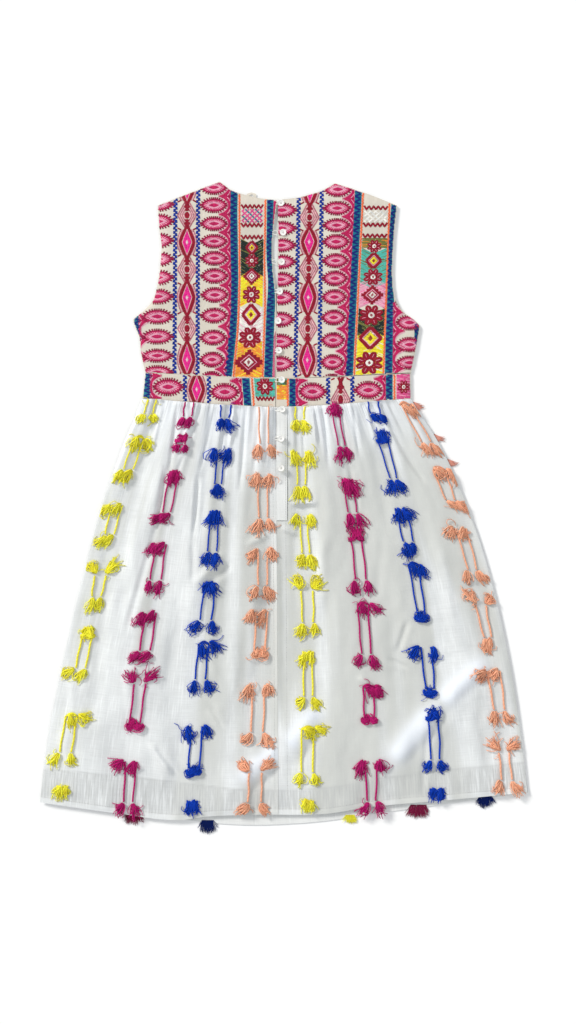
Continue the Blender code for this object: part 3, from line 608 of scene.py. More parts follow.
class PanelForm:
    """Outline and upper side of one packed cloth solid."""

    def __init__(self, node: str, corners: tuple[Pair, ...]) -> None:
        """Read a node.

        Args:
            node: The node's name.
            corners: About where its corners are, from upper left, clockwise.
        """
        shape = bmesh.new()
        shape.from_mesh(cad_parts[node].data)
        bmesh.ops.remove_doubles(shape, verts=shape.verts, dist=1e-5)
        shape.normal_update()
        self.tree = BVHTree.FromBMesh(shape)
        top = {face for face in shape.faces if face.normal.z > 0.3}
        following: dict[int, list[int]] = {}
        for edge in shape.edges:
            if sum(face in top for face in edge.link_faces) == 1:
                first, second = (vert.index for vert in edge.verts)
                following.setdefault(first, []).append(second)
                following.setdefault(second, []).append(first)
        shape.verts.ensure_lookup_table()
        loop = self._longest_loop(following)
        points = np.array([shape.verts[k].co[:] for k in loop]) / MM
        shape.free()
        self.sides = self._four_sides(points, corners)
        self.middle = points.mean(axis=0)[:2]

    @staticmethod
    def _longest_loop(following: dict[int, list[int]]) -> list[int]:
        """The longest closed loop among linked points.

        Args:
            following: The points that each point is linked to.

        Returns:
            The loop's points in order.
        """
        left, best = set(following), []
        while left:
            start = min(left)
            loop, last, here = [start], None, start
            while True:
                left.discard(here)
                ahead = [k for k in following[here] if k != last]
                if not ahead or ahead[0] == start or (ahead[0] not in left and len(ahead) < 2):
                    break
                chosen = next((k for k in ahead if k in left), None)
                if chosen is None:
                    break
                last, here = here, chosen
                loop.append(here)
            best = max(best, loop, key=len)
        return best

    @staticmethod
    def _four_sides(points: Array, corners: tuple[Pair, ...]) -> tuple[Array, ...]:
        """Split the outline at its corners, into top, right, lower and left side.

        Args:
            points: The outline.
            corners: About where its corners are.

        Returns:
            The four sides, each from the left or from the top.
        """
        area = np.sum(points[:, 0] * np.roll(points[:, 1], -1) - np.roll(points[:, 0], -1) * points[:, 1])
        if area > 0:
            points = points[::-1]
        places = [int(np.argmin(np.hypot(points[:, 0] - x, points[:, 1] - y))) for x, y in corners]
        points = np.roll(points, -places[0], axis=0)
        places = [(k - places[0]) % len(points) for k in places] + [len(points)]
        closed = np.vstack((points, points[:1]))
        parts = [closed[places[k] : places[k + 1] + 1] for k in range(4)]
        return parts[0], parts[1], parts[2][::-1], parts[3][::-1]

    def grid(self, across: int, down: int, soften: int) -> tuple[Array, Array]:
        """Plan of the panel as rows of points between its four sides.

        Args:
            across: Points in a row.
            down: Number of rows.
            soften: How often the side edges are smoothed.

        Returns:
            Places across and along the dress.
        """
        top, right, low, left = self.sides
        top, low = evenly(top, across), evenly(low, across)
        right = softened(evenly(right, down), soften)
        left = softened(evenly(left, down), soften)
        u = np.linspace(0.0, 1.0, across)[None, :]
        v = np.linspace(0.0, 1.0, down)[:, None]
        plan = []
        for axis in (0, 1):
            ruled = (1 - v) * top[None, :, axis] + v * low[None, :, axis]
            ruled = ruled + (1 - u) * left[:, None, axis] + u * right[:, None, axis]
            corner = (1 - u) * (1 - v) * top[0, axis] + u * (1 - v) * top[-1, axis]
            corner = corner + (1 - u) * v * low[0, axis] + u * v * low[-1, axis]
            plan.append(ruled - corner)
        return plan[0], plan[1]

    def level(self, x: Array, y: Array, rounds: int) -> Array:
        """Height of the solid's upper side over a grid, with its facets smoothed.

        Args:
            x: Places across the dress.
            y: Places along it.
            rounds: How often the level is smoothed.

        Returns:
            The height at each place.
        """
        z = np.zeros_like(x)
        inward = 0.002
        for row in range(x.shape[0]):
            for column in range(x.shape[1]):
                px = x[row, column] + inward * (self.middle[0] - x[row, column])
                py = y[row, column] + inward * (self.middle[1] - y[row, column])
                hit = self.tree.ray_cast(Vector((px * MM, py * MM, ABOVE_ALL)), DOWN)[0]
                if hit is None:
                    hit = self.tree.find_nearest(Vector((px * MM, py * MM, 0.02)))[0]
                z[row, column] = hit.z / MM
        for _ in range(rounds):
            z[1:-1] = 0.25 * z[:-2] + 0.5 * z[1:-1] + 0.25 * z[2:]
            z[:, 1:-1] = 0.25 * z[:, :-2] + 0.5 * z[:, 1:-1] + 0.25 * z[:, 2:]
        return z


class Spots(NamedTuple):
    """A panel's points: places across and along the dress, and shares of its width and height."""

    x: Array
    y: Array
    u: Array
    v: Array


@dataclass
class ClothPanel:
    """One cut piece of cloth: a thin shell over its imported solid."""

    name: str
    node: str
    slot: str
    finish: WovenFinish
    corners: tuple[Pair, ...]
    cell: float
    flat: Pair
    held: str = "laid"
    rests_on: tuple[str, ...] = ()
    thickness: float = 0.7
    soften: int = 0
    smooth: int = 2
    cut_area: float = 0.0
    shell: Piece = field(default=None, init=False)
    form: PanelForm = field(default=None, init=False)

    def relief(self, at: Spots) -> Array:
        """Rise of the cloth over the solid's form, in millimetres; flat cloth has next to none."""
        return 0.12 * uneven(at.x, at.y, 40.0, 3)

    def settled(self, z: Array, level: Array) -> Array:
        """Keep the cloth off what it lies on; flat cloth is never low enough."""
        return z

    def point_marks(self, at: Spots) -> dict[str, Array]:
        """Numbers for the finish, by attribute name."""
        return {}

    def build(self) -> None:
        self.form = PanelForm(self.node, self.corners)
        top, right, low, left = self.form.sides
        wide = max(np.ptp(top[:, 0]), np.ptp(low[:, 0]))
        tall = max(np.ptp(left[:, 1]), np.ptp(right[:, 1]))
        across, down = max(6, round(wide / self.cell)), max(6, round(tall / self.cell))
        x, y = self.form.grid(across, down, self.soften)
        u = np.broadcast_to(np.linspace(0, 1, across)[None, :], x.shape)
        v = np.broadcast_to(np.linspace(0, 1, down)[:, None], x.shape)
        level = self.form.level(x, y, self.smooth)
        at = Spots(x, y, u, v)
        z = self.settled(level + self.relief(at), level)
        points = np.stack((x, y, z), axis=-1).reshape(-1, 3) * MM
        number = np.arange(across * down).reshape(down, across)
        cells = (number[:-1, :-1], number[1:, :-1], number[1:, 1:], number[:-1, 1:])
        faces = np.stack(cells, axis=-1).reshape(-1, 4)
        mesh = bpy.data.meshes.new(self.name)
        mesh.from_pydata(points.tolist(), [], faces.tolist())
        chart = mesh.uv_layers.new(name="cloth")
        flat = np.stack((u * self.flat[0], (1 - v) * self.flat[1]), axis=-1).reshape(-1, 2)
        chart.uv.foreach_set("vector", flat[faces.ravel()].astype(np.float32).ravel())
        for key, values in self.point_marks(at).items():
            mark(mesh, key, values)
        self.shell = link(self.name, mesh)
        mesh.materials.append(finish_of(self.finish))
        wall = self.shell.modifiers.new("wall", "SOLIDIFY")
        wall.thickness = self.thickness * MM
        wall.offset = -1.0
        only(self.shell)
        bpy.ops.object.modifier_apply(modifier="wall")
        bpy.ops.object.shade_smooth_by_angle(angle=math.radians(50))
        hand_over(self.shell, self.node)


class Ground:
    """Heights of the cloth that stitches or yarn lie on, over an even grid."""

    def __init__(self, shells: list[Piece], pitch: float) -> None:
        """Read the shells from above.

        Args:
            shells: The pieces of cloth.
            pitch: Spacing of the grid, in millimetres.
        """
        self.pitch = pitch
        trees = []
        low, high = np.full(2, np.inf), np.full(2, -np.inf)
        for shell in shells:
            corners = [v.co for v in shell.data.vertices]
            trees.append(BVHTree.FromPolygons(corners, [p.vertices for p in shell.data.polygons]))
            box = np.array([c[:2] for c in shell.bound_box]) / MM
            low, high = np.minimum(low, box.min(0)), np.maximum(high, box.max(0))
        self.low = low - 2 * pitch
        count = np.ceil((high + 2 * pitch - self.low) / pitch).astype(int) + 1
        self.z = np.full((count[1], count[0]), np.nan)
        for row in range(count[1]):
            for column in range(count[0]):
                x = (self.low[0] + column * pitch) * MM
                y = (self.low[1] + row * pitch) * MM
                for tree in trees:
                    hit = tree.ray_cast(Vector((x, y, ABOVE_ALL)), DOWN)[0]
                    if hit is not None:
                        self.z[row, column] = np.fmax(self.z[row, column], hit.z / MM)

    def height(self, x: Array, y: Array) -> Array:
        """Height at plan points in millimetres; it isn't a number off the cloth.

        Args:
            x: Places across the dress.
            y: Places along it.

        Returns:
            The height at each place.
        """
        gx = np.clip((np.asarray(x) - self.low[0]) / self.pitch, 0, self.z.shape[1] - 1.001)
        gy = np.clip((np.asarray(y) - self.low[1]) / self.pitch, 0, self.z.shape[0] - 1.001)
        ix, iy = gx.astype(int), gy.astype(int)
        fx, fy = gx - ix, gy - iy
        z = self.z
        low = z[iy, ix] * (1 - fx) + z[iy, ix + 1] * fx
        high = z[iy + 1, ix] * (1 - fx) + z[iy + 1, ix + 1] * fx
        return low * (1 - fy) + high * fy

    def filled(self, reach: int = 40, bare: float = 0.8) -> "Ground":
        """The same ground with its level carried on past the edges.

        Args:
            reach: How many points of the grid it is carried.
            bare: Level beyond them, in millimetres.

        Returns:
            This ground.
        """
        z = self.z
        for _ in range(reach):
            gap = np.isnan(z)
            if not gap.any():
                break
            padded = np.pad(z, 1, constant_values=np.nan)
            near = np.stack((padded[:-2, 1:-1], padded[2:, 1:-1], padded[1:-1, :-2], padded[1:-1, 2:]))
            known = ~np.isnan(near)
            total = np.where(known, near, 0.0).sum(0)
            z = np.where(gap & known.any(0), total / np.maximum(known.sum(0), 1), z)
        self.z = np.where(np.isnan(z), bare, z)
        return self


# Stitches


@dataclass
class Motif:
    """Straight stitches in millimetres about a middle, as rows of thread and ends."""

    rows: list[tuple[Floss, float, float, float, float, float, float]] = field(default_factory=list)
    least: float = 0.5
    overlap: float = 1.35

    def line(
        self, floss: Floss, x0: float, y0: float, x1: float, y1: float, wide: float = 1.1,
        high: float = 0.4,
    ) -> None:
        """Add one straight stitch."""
        self.rows.append((floss, x0, y0, x1, y1, wide, high))

    def path(self, floss: Floss, points: list[Pair], wide: float, high: float = 0.4) -> None:
        """Add a run of stitches end to end along a path."""
        for (x0, y0), (x1, y1) in zip(points, points[1:]):
            self.line(floss, x0, y0, x1, y1, wide, high)

    def satin(
        self, floss: Floss, points: list[Pair], wide: float, pitch: float = 0.95,
        high: float = 0.42,
    ) -> None:
        """Cover a path with stitches that lie across it.

        Args:
            floss: The thread.
            points: The path.
            wide: Length of a stitch, across the path.
            pitch: Spacing of the stitches.
            high: Height of a stitch.
        """
        line = np.array(points, float)
        length = np.linalg.norm(np.diff(line, axis=0), axis=1).sum()
        line = evenly(line, max(3, round(length / pitch)))
        way = np.gradient(line, axis=0)
        way /= np.maximum(np.linalg.norm(way, axis=1, keepdims=True), 1e-9)
        off = np.stack((-way[:, 1], way[:, 0]), axis=1) * (wide / 2)
        for (ax, ay), (bx, by) in zip(line - off, line + off):
            self.line(floss, ax, ay, bx, by, pitch * self.overlap, high)

    def hatch(
        self, floss: Floss, outline: list[Pair], pitch: float = 1.0,
        upright: bool = False, high: float = 0.4,
    ) -> None:
        """Fill an outline with parallel stitches, level or upright.

        Args:
            floss: The thread.
            outline: The outline's corners.
            pitch: Spacing of the stitches.
            upright: Whether the stitches stand upright.
            high: Height of a stitch.
        """
        shape = np.array(outline, float)
        if upright:
            shape = shape[:, ::-1]
        following = np.roll(shape, -1, axis=0)
        levels = np.arange(shape[:, 1].min() + pitch / 2, shape[:, 1].max(), pitch)
        for level in levels:
            crosses = (shape[:, 1] > level) != (following[:, 1] > level)
            a, b = shape[crosses], following[crosses]
            at = np.sort(a[:, 0] + (level - a[:, 1]) * (b[:, 0] - a[:, 0]) / (b[:, 1] - a[:, 1]))
            for start, end in zip(at[::2], at[1::2]):
                if end - start > self.least:
                    ends = (level, start, level, end) if upright else (start, level, end, level)
                    self.line(floss, *ends, pitch * self.overlap, high)


@dataclass
class Stripe:
    """A stripe of the embroidery: its side edges at the upper and the lower level."""

    left_top: float
    right_top: float
    left_low: float
    right_low: float
    top: float = 490.0
    low: float = 202.0

    def bend(self, x: Array, y: Array, half: float) -> Array:
        """Fit points of a motif between the edges.

        Args:
            x: Places in the motif, off its middle.
            y: Levels on the dress.
            half: Half the width that the motif was drawn for.

        Returns:
            Places across the dress.
        """
        share = (self.top - y) / (self.top - self.low)
        left = self.left_top + share * (self.left_low - self.left_top)
        right = self.right_top + share * (self.right_low - self.right_top)
        return (left + right) / 2 + x / half * (right - left) / 2


@dataclass
class BentStripe:
    """A stripe that isn't straight: its level, middle and width at places, lowest first."""

    course: tuple[Triple, ...]
    top: float = 490.0
    low: float = 202.0

    def bend(self, x: Array, y: Array, half: float) -> Array:
        """Fit points of a motif between the edges, as a straight stripe does.

        Args:
            x: Places in the motif, off its middle.
            y: Levels on the dress.
            half: Half the width that the motif was drawn for.

        Returns:
            Places across the dress.
        """
        level, middle, width = np.array(self.course).T
        return np.interp(y, level, middle) + x / half * np.interp(y, level, width) / 2


AnyStripe = Stripe | BentStripe


def upright(left: float, right: float, top: float = 490.0, low: float = 202.0) -> Stripe:
    """A stripe with upright edges."""
    return Stripe(left, right, left, right, top, low)


class Stitching:
    """Raised stitches on a cloth, gathered into one mesh with a finish for each thread."""

    longest: float = 6.5
    shortest: float = 0.35
    end_slope: float = 0.35
    raised_from: float = 0.43

    def __init__(self, name: str, ground: Ground, seed: int, margin: float = 0.3) -> None:
        """Start with no stitches.

        Args:
            name: The piece's name.
            ground: The cloth.
            seed: Start of the random draws.
            margin: How far inside the cloth's edge the stitches stay, in millimetres.
        """
        self.name, self.ground, self.margin = name, ground, margin
        self.random = np.random.default_rng(seed)
        self.batches: list[tuple[Array, Array]] = []
        self.threads = list(Floss)

    def sew(
        self, motif: Motif, stripe: AnyStripe | None = None, y: float = 0.0, half: float = 1.0,
        x: float = 0.0, stretch: float = 1.0, jitter: float = 0.12,
    ) -> None:
        """Place a motif.

        Args:
            motif: The stitches.
            stripe: The stripe it follows, or none where it lies free.
            y: Level of its middle.
            half: Half the width that the motif was drawn for.
            x: Place of its middle across the dress, where it lies free.
            stretch: Stretch along the dress.
            jitter: How unevenly the ends lie, in millimetres.
        """
        if not motif.rows:
            return
        rows = np.array([row[1:] for row in motif.rows], float)
        kinds = np.array([self.threads.index(row[0]) for row in motif.rows])
        rows, kinds = self._shortened(rows, kinds)
        ends = rows[:, :4].reshape(-1, 2, 2)
        ends = ends + self.random.normal(0.0, jitter, ends.shape)
        ends[..., 1] = ends[..., 1] * stretch + y
        if stripe is None:
            ends[..., 0] += x
        else:
            ends[..., 0] = stripe.bend(ends[..., 0], ends[..., 1], half)
        ends, kept = self._trimmed(ends)
        self.batches.append((np.hstack((ends.reshape(-1, 4), rows[kept, 4:6])), kinds[kept]))

    def _shortened(self, rows: Array, kinds: Array) -> tuple[Array, Array]:
        """Part long stitches into short lengths, so that each lies on the cloth.

        Args:
            rows: Ends, width and height of each stitch.
            kinds: Number of its thread.

        Returns:
            The same for the shorter lengths.
        """
        length = np.hypot(rows[:, 2] - rows[:, 0], rows[:, 3] - rows[:, 1])
        parts = np.maximum(1, np.ceil(length / self.longest)).astype(int)
        source = np.repeat(np.arange(len(rows)), parts)
        number = np.arange(len(source)) - np.repeat(np.cumsum(parts) - parts, parts)
        share = (number / parts[source])[:, None]
        after = ((number + 1) / parts[source])[:, None]
        start, way = rows[source, :2], rows[source, 2:4] - rows[source, :2]
        ends = np.hstack((start + way * share, start + way * np.minimum(after * 1.02, 1.0)))
        return np.hstack((ends, rows[source, 4:])), kinds[source]

    def _on_cloth(self, points: Array) -> Array:
        """Which points lie on the cloth, a margin inside its edge.

        Args:
            points: Plan points.

        Returns:
            Whether each lies on the cloth.
        """
        good = np.ones(points.shape[:-1], bool)
        for dx, dy in ((1, 0), (-1, 0), (0, 1), (0, -1)):
            near = points + np.array((dx, dy)) * self.margin
            good &= ~np.isnan(self.ground.height(near[..., 0], near[..., 1]))
        return good

    def _trimmed(self, ends: Array) -> tuple[Array, Array]:
        """Cut stitches at the cloth's edge and leave out those off it.

        Args:
            ends: Both ends of each stitch.

        Returns:
            Ends of the stitches that stay, and which ones those are.
        """
        start, end = ends[:, 0].copy(), ends[:, 1].copy()
        inside_start, inside_end = self._on_cloth(start), self._on_cloth(end)
        for near, far, mask in (
            (start, end, inside_start & ~inside_end),
            (end, start, inside_end & ~inside_start),
        ):
            low, high = np.zeros(len(near)), np.ones(len(near))
            for _ in range(6):
                share = (low + high) / 2
                middle = near + (far - near) * share[:, None]
                inside = self._on_cloth(middle)
                low, high = np.where(inside, share, low), np.where(inside, high, share)
            cut = near + (far - near) * low[:, None]
            far[mask] = cut[mask]
        kept = (inside_start | inside_end) & (np.linalg.norm(end - start, axis=1) > self.shortest)
        return np.stack((start[kept], end[kept]), axis=1), kept

    def _ridges(self, rows: Array) -> tuple[Array, Array]:
        """Give each stitch four low corners on the cloth and a ridge between its ends.

        Args:
            rows: Start, end, width and height of each stitch.

        Returns:
            Six points for each stitch that lies on the cloth, and which ones those are.
        """
        start, end, wide, high = rows[:, :2], rows[:, 2:4], rows[:, 4:5], rows[:, 5]
        way = end - start
        length = np.maximum(np.linalg.norm(way, axis=1, keepdims=True), 1e-6)
        way = way / length
        off = np.stack((-way[:, 1], way[:, 0]), axis=1) * wide / 2
        inset = way * np.minimum(self.end_slope, 0.3 * length)
        corners = (start + off, start - off, end - off, end + off)
        flat = np.stack((*corners, start + inset, end - inset), axis=1)
        foot = np.where(high > self.raised_from, high - 0.28, 0.02)
        lift = np.repeat(foot[:, None], 6, axis=1)
        lift[:, 4:] = high[:, None] * self.random.uniform(0.85, 1.15, (len(rows), 1))
        z = self.ground.height(flat[..., 0], flat[..., 1])
        middle = self.ground.height(*((start + end) / 2).T)[:, None]
        z = np.where(np.isnan(z), middle, z)
        rise = np.zeros(len(rows))
        for share in (0.25, 0.5, 0.75):
            under = self.ground.height(*(start + share * way * length).T)
            straight = z[:, 4] + share * (z[:, 5] - z[:, 4])
            rise = np.maximum(rise, np.nan_to_num(under - straight))
        good = ~np.isnan(z).any(axis=1)
        z = z + lift + np.minimum(rise, 1.0)[:, None]
        return np.dstack((flat, z))[good].reshape(-1, 3) * MM, good

    def build(self, slot: str) -> None:
        """Make the mesh: a stitch is a low ridge with closed ends.

        Args:
            slot: Not used.
        """
        points, good = self._ridges(np.vstack([batch[0] for batch in self.batches]))
        kinds = np.concatenate([batch[1] for batch in self.batches])[good]
        sides, ends = (4, 5, 3, 0, 5, 4, 1, 2), (4, 0, 1, 5, 2, 3)
        loops = (np.arange(len(kinds))[:, None] * 6 + np.array(sides + ends)).ravel()
        sizes = np.tile((4, 4, 3, 3), len(kinds))
        mesh = bpy.data.meshes.new(self.name)
        mesh.vertices.add(len(points))
        mesh.vertices.foreach_set("co", points.astype(np.float32).ravel())
        mesh.loops.add(len(loops))
        mesh.loops.foreach_set("vertex_index", loops.astype(np.int32))
        mesh.polygons.add(len(sizes))
        starts = np.concatenate(([0], np.cumsum(sizes)[:-1]))
        mesh.polygons.foreach_set("loop_start", starts.astype(np.int32))
        used = sorted(set(kinds.tolist()))
        for kind in used:
            mesh.materials.append(finish_of(self.threads[kind].value))
        index = np.repeat([used.index(kind) for kind in kinds], 4)
        mesh.polygons.foreach_set("material_index", index.astype(np.int32))
        mark(mesh, "tone", np.repeat(self.random.uniform(0.0, 1.0, len(kinds)), 6))
        mesh.update(calc_edges=True)
        mesh.validate()
        hand_over(link(self.name, mesh))


def oval(wide: float, high: float, count: int) -> list[Pair]:
    """Points round an oval."""
    turns = [2 * math.pi * k / count for k in range(count)]
    return [(wide * math.cos(t), high * math.sin(t)) for t in turns]


def rhomb(wide: float, high: float) -> list[Pair]:
    """The corners of a diamond."""
    return [(wide, 0.0), (0.0, high), (-wide, 0.0), (0.0, -high)]


def closed_rhomb(wide: float, high: float) -> list[Pair]:
    """The corners of a diamond, with the first one again at the end."""
    return rhomb(wide, high) + [(wide, 0.0)]


@dataclass
class FolkMotifs:
    """The embroidery's motifs, drawn from rules for traditional leaf, zigzag and diamond bands."""

    almond_half: float = 22.0
    almond_high: float = 10.2
    band_half: float = 6.0
    almond_spikes: int = 28
    band_repeat: float = 8.8
    chain_half: float = 15.5
    petals: int = 8

    def _almond_edge(self, t: float) -> Pair:
        """Point of the almond's outline at a turn.

        Args:
            t: The turn.

        Returns:
            The point.
        """
        x = self.almond_half * math.cos(t)
        bulge = (1 - abs(math.cos(t)) ** 2.6) ** 0.75
        return x, math.copysign(self.almond_high * bulge, math.sin(t))

    def almond(self) -> Motif:
        """An eye of radial stitches: a spiked rim, a pale ring and a diamond in its middle.

        Returns:
            The motif.
        """
        made = Motif()
        count = self.almond_spikes
        ring = [self._almond_edge(t) for t in np.linspace(0, 2 * math.pi, count, endpoint=False)]
        made.hatch(Floss.PINK, [(0.84 * x, 0.78 * y) for x, y in ring], 1.2, True, 0.14)
        for k in range(2 * count):
            t = 2 * math.pi * (k + 0.5) / (2 * count)
            t += 0.2 * math.sin(2 * t)
            x, y = self._almond_edge(t)
            if k % 2 == 0:
                made.line(Floss.PLUM, 1.04 * x, 1.08 * y, 0.77 * x, 0.7 * y, 2.2, 0.6)
                made.line(Floss.MAGENTA, 0.82 * x, 0.75 * y, 0.56 * x, 0.42 * y, 2.0, 0.52)
            else:
                made.line(Floss.MAGENTA, 0.9 * x, 0.86 * y, 0.72 * x, 0.62 * y, 1.9, 0.42)
                made.line(Floss.PALE, 0.72 * x, 0.6 * y, 0.36 * x, 0.24 * y, 1.5, 0.5)
        made.path(Floss.PALE, closed_rhomb(11.0, 4.4), 1.3, 0.56)
        made.hatch(Floss.MAGENTA, rhomb(8.4, 3.0), 0.95, True, 0.58)
        for hand in (-1, 1):
            made.line(Floss.PALE, hand * 10.5, 0.0, hand * 15.0, 0.0, 1.2, 0.5)
        return made

    def scallop(self, pitch: float, hand: float) -> Motif:
        """One repeat of the edge beside the almonds: a point between two of them, and arches.

        Args:
            pitch: Spacing of the almonds.
            hand: Side of the stripe, -1 for left or 1 for right.

        Returns:
            The motif.
        """
        made = Motif()
        half = pitch / 2
        point = [(-18.4, 0.0), (-11.0, 3.0), (-5.5, 6.4), (-5.5, -6.4), (-11.0, -3.0)]
        made.hatch(Floss.MAGENTA, [(hand * x, y) for x, y in point], 0.95, True, 0.42)
        root = [(-6.2, 4.4), (-2.4, 8.6), (-1.4, half), (1.0, half), (1.0, -half)]
        root += [(-1.4, -half), (-2.4, -8.6), (-6.2, -4.4)]
        made.hatch(Floss.MAGENTA, [(hand * x, y) for x, y in root], 1.0, False, 0.2)
        for sign in (-1, 1):
            arch = ((-7.0, 3.6), (-4.6, 6.0), (-2.8, 8.4), (-1.6, 0.84 * half), (-1.2, half))
            made.satin(Floss.MAGENTA, [(hand * x, sign * y) for x, y in arch], 3.2, 0.95, 0.46)
            outer = ((-4.0, 1.4), (-1.4, 4.4), (-0.2, 7.4))
            made.path(Floss.PALE, [(hand * x, sign * y) for x, y in outer], 1.2, 0.52)
            inner = (
                (-18.0, 1.5), (-12.0, 3.9), (-7.6, 6.6), (-4.8, 9.0), (-3.6, 0.84 * half), (-3.2, half)
            )
            made.path(Floss.PALE, [(hand * x, sign * y) for x, y in inner], 1.5, 0.56)
        made.hatch(Floss.PLUM, [(hand * x - hand * 1.9, y) for x, y in rhomb(1.5, 2.1)], 0.9, True, 0.5)
        return made

    def band(self) -> Motif:
        """One repeat of the wide band: a navy zigzag on teal.

        Returns:
            The motif.
        """
        made = Motif()
        half, rise = self.band_half, self.band_repeat / 2
        ground = [(-half, -rise), (half, -rise), (half, rise), (-half, rise)]
        made.hatch(Floss.TEAL, ground, 1.1, False, 0.14)
        thick = 1.45
        zigzag = [(-half * 0.92, -rise), (half * 0.92, 0.0), (-half * 0.92, rise)]
        body = [(x, y - thick) for x, y in zigzag] + [(x, y + thick) for x, y in zigzag[::-1]]
        made.hatch(Floss.NAVY, body, 0.9, True, 0.5)
        return made

    def dots(self) -> Motif:
        """One repeat of the blue line of slanting dashes.

        Returns:
            The motif.
        """
        made = Motif()
        for x, y in ((-1.35, 1.7), (1.35, -1.7)):
            slant = 0.5 if x < 0 else -0.5
            for k in (-0.65, 0.65):
                made.line(Floss.BLUE, x + k - slant, y - 2.3, x + k + slant, y + 2.3, 2.4, 0.5)
        return made

    def chain_diamond(self, high: float) -> Motif:
        """The long diamond of the chain, with a rose heart and pale lines beside it.

        Args:
            high: Half its height.

        Returns:
            The motif.
        """
        made = Motif()
        half, steps = 10.0, 12
        shares = [-1 + 2 * k / steps for k in range(steps + 1)]
        for hand in (-1, 1):
            edge = [(hand * half * (1 - abs(s) ** 1.5), s * high) for s in shares]
            made.satin(Floss.WINE, edge, 5.6, 1.0, 0.5)
            for off, floss in ((3.6, Floss.ECHO), (5.4, Floss.BLUSH), (7.1, Floss.ECHO)):
                beside = [(x * (1 - 0.03 * off) + hand * off, y) for x, y in edge[1:-1]]
                made.path(floss, beside, 2.3, 0.42)
        made.hatch(Floss.ROSE, rhomb(7.4, high * 0.84), 0.95, False, 0.42)
        made.path(Floss.BLUSH, closed_rhomb(7.6, high * 0.86), 1.1, 0.6)
        made.hatch(Floss.PALE, rhomb(2.4, 4.2), 0.9, False, 0.6)
        made.hatch(Floss.WHITE, rhomb(1.2, 2.2), 0.8, False, 0.7)
        return made

    def chain_knot(self, high: float) -> Motif:
        """The knot between two diamonds: two small trees, a bead and echo lines.

        Args:
            high: Half its height.

        Returns:
            The motif.
        """
        made = Motif()
        for wide, tall, floss in (
            (5.8, 7.4, Floss.BLUSH), (7.5, 10.4, Floss.ECHO), (9.2, 13.6, Floss.BLUSH),
            (10.9, 17.0, Floss.ECHO), (12.6, 20.6, Floss.BLUSH), (14.3, 24.4, Floss.ECHO),
        ):
            for hand in (-1, 1):
                line = [(hand * 3.4, tall * 0.8), (hand * wide, 0.0), (hand * 3.4, -tall * 0.8)]
                made.path(floss, line, 2.6, 0.42)
        scale = high / 19.4
        for sign in (-1, 1):
            right = (
                (1.4, 6.4), (4.0, 8.2), (2.4, 9.4), (2.4, 10.6), (6.0, 13.2), (3.2, 15.4),
                (2.6, 19.8),
            )
            tree = [(x, sign * y * scale) for x, y in right]
            tree += [(-x, sign * y * scale) for x, y in right[::-1]]
            made.hatch(Floss.WINE, tree, 0.95, False, 0.55)
        made.hatch(Floss.WINE, oval(4.1, 5.2 * scale, 8), 0.9, False, 0.58)
        for sign in (-1, 1):
            for hand in (-1, 1):
                x, y = hand * 14.6, sign * 20.4 * scale
                made.line(Floss.WINE, x, y, x - hand * 5.4, y + sign * 2.6, 2.3, 0.5)
        return made

    def chain_stitch(self) -> Motif:
        """One bend of the coral line.

        Returns:
            The motif.
        """
        made = Motif()
        for x0, y0, x1, y1 in ((-1.1, -2.4, 1.1, -0.1), (1.1, -0.1, -1.1, 2.4)):
            made.line(Floss.CORAL, x0, y0, x1, y1, 2.4, 0.56)
        return made

    def zigzag(self, half: float) -> Motif:
        """A wine zigzag across the narrow panel.

        Args:
            half: Half its width.

        Returns:
            The motif.
        """
        made = Motif()
        count = 10
        points = [(-half + 2 * half * k / count, 2.8 * (-1) ** k) for k in range(count + 1)]
        made.satin(Floss.WINE, points, 2.7, 0.8, 0.52)
        return made

    def lattice(self, half: float, high: float, first: Floss, second: Floss) -> Motif:
        """A lattice of crossing lines in two colours.

        Args:
            half: Half its width.
            high: Half its height.
            first: Thread of most lines.
            second: Thread of the rest.

        Returns:
            The motif.
        """
        made = Motif()
        step = 7.4
        reach = math.ceil((half + high) / step)
        for k in range(-reach, reach + 1):
            for slope in (-1, 1):
                ends = [(k * step + slope * y, y) for y in (-high, high)]
                if ends[0][0] > ends[1][0]:
                    ends.reverse()
                (x0, y0), (x1, y1) = ends
                low, top = max(x0, -half), min(x1, half)
                if top - low > 1.0:
                    rise = (y1 - y0) / (x1 - x0)
                    floss = first if slope > 0 or k % 2 else second
                    first_y, last_y = (y0 + rise * (x - x0) for x in (low, top))
                    made.line(floss, low, first_y, top, last_y, 2.3, 0.44)
        return made

    def stepped(self, half: float) -> Motif:
        """A stepped diamond with a pale heart.

        Args:
            half: Half its size.

        Returns:
            The motif.
        """
        made = Motif()
        steps = ((1.0, 0.18), (0.78, 0.4), (0.54, 0.62), (0.3, 0.82), (0.14, 1.0))
        corners = []
        last = 0.0
        for x, y in steps:
            corners += [(half * x, last), (half * x, half * y)]
            last = half * y
        outline = corners + [(-x, y) for x, y in corners[::-1]]
        outline += [(-x, -y) for x, y in corners] + [(x, -y) for x, y in corners[::-1]]
        made.hatch(Floss.WINE, outline, 0.95, False, 0.5)
        made.path(Floss.PALE, closed_rhomb(half * 0.58, half * 0.6), 1.3, 0.66)
        made.hatch(Floss.WHITE, rhomb(half * 0.34, half * 0.38), 0.9, True, 0.66)
        made.hatch(Floss.WINE, rhomb(half * 0.14, half * 0.18), 0.8, True, 0.8)
        return made

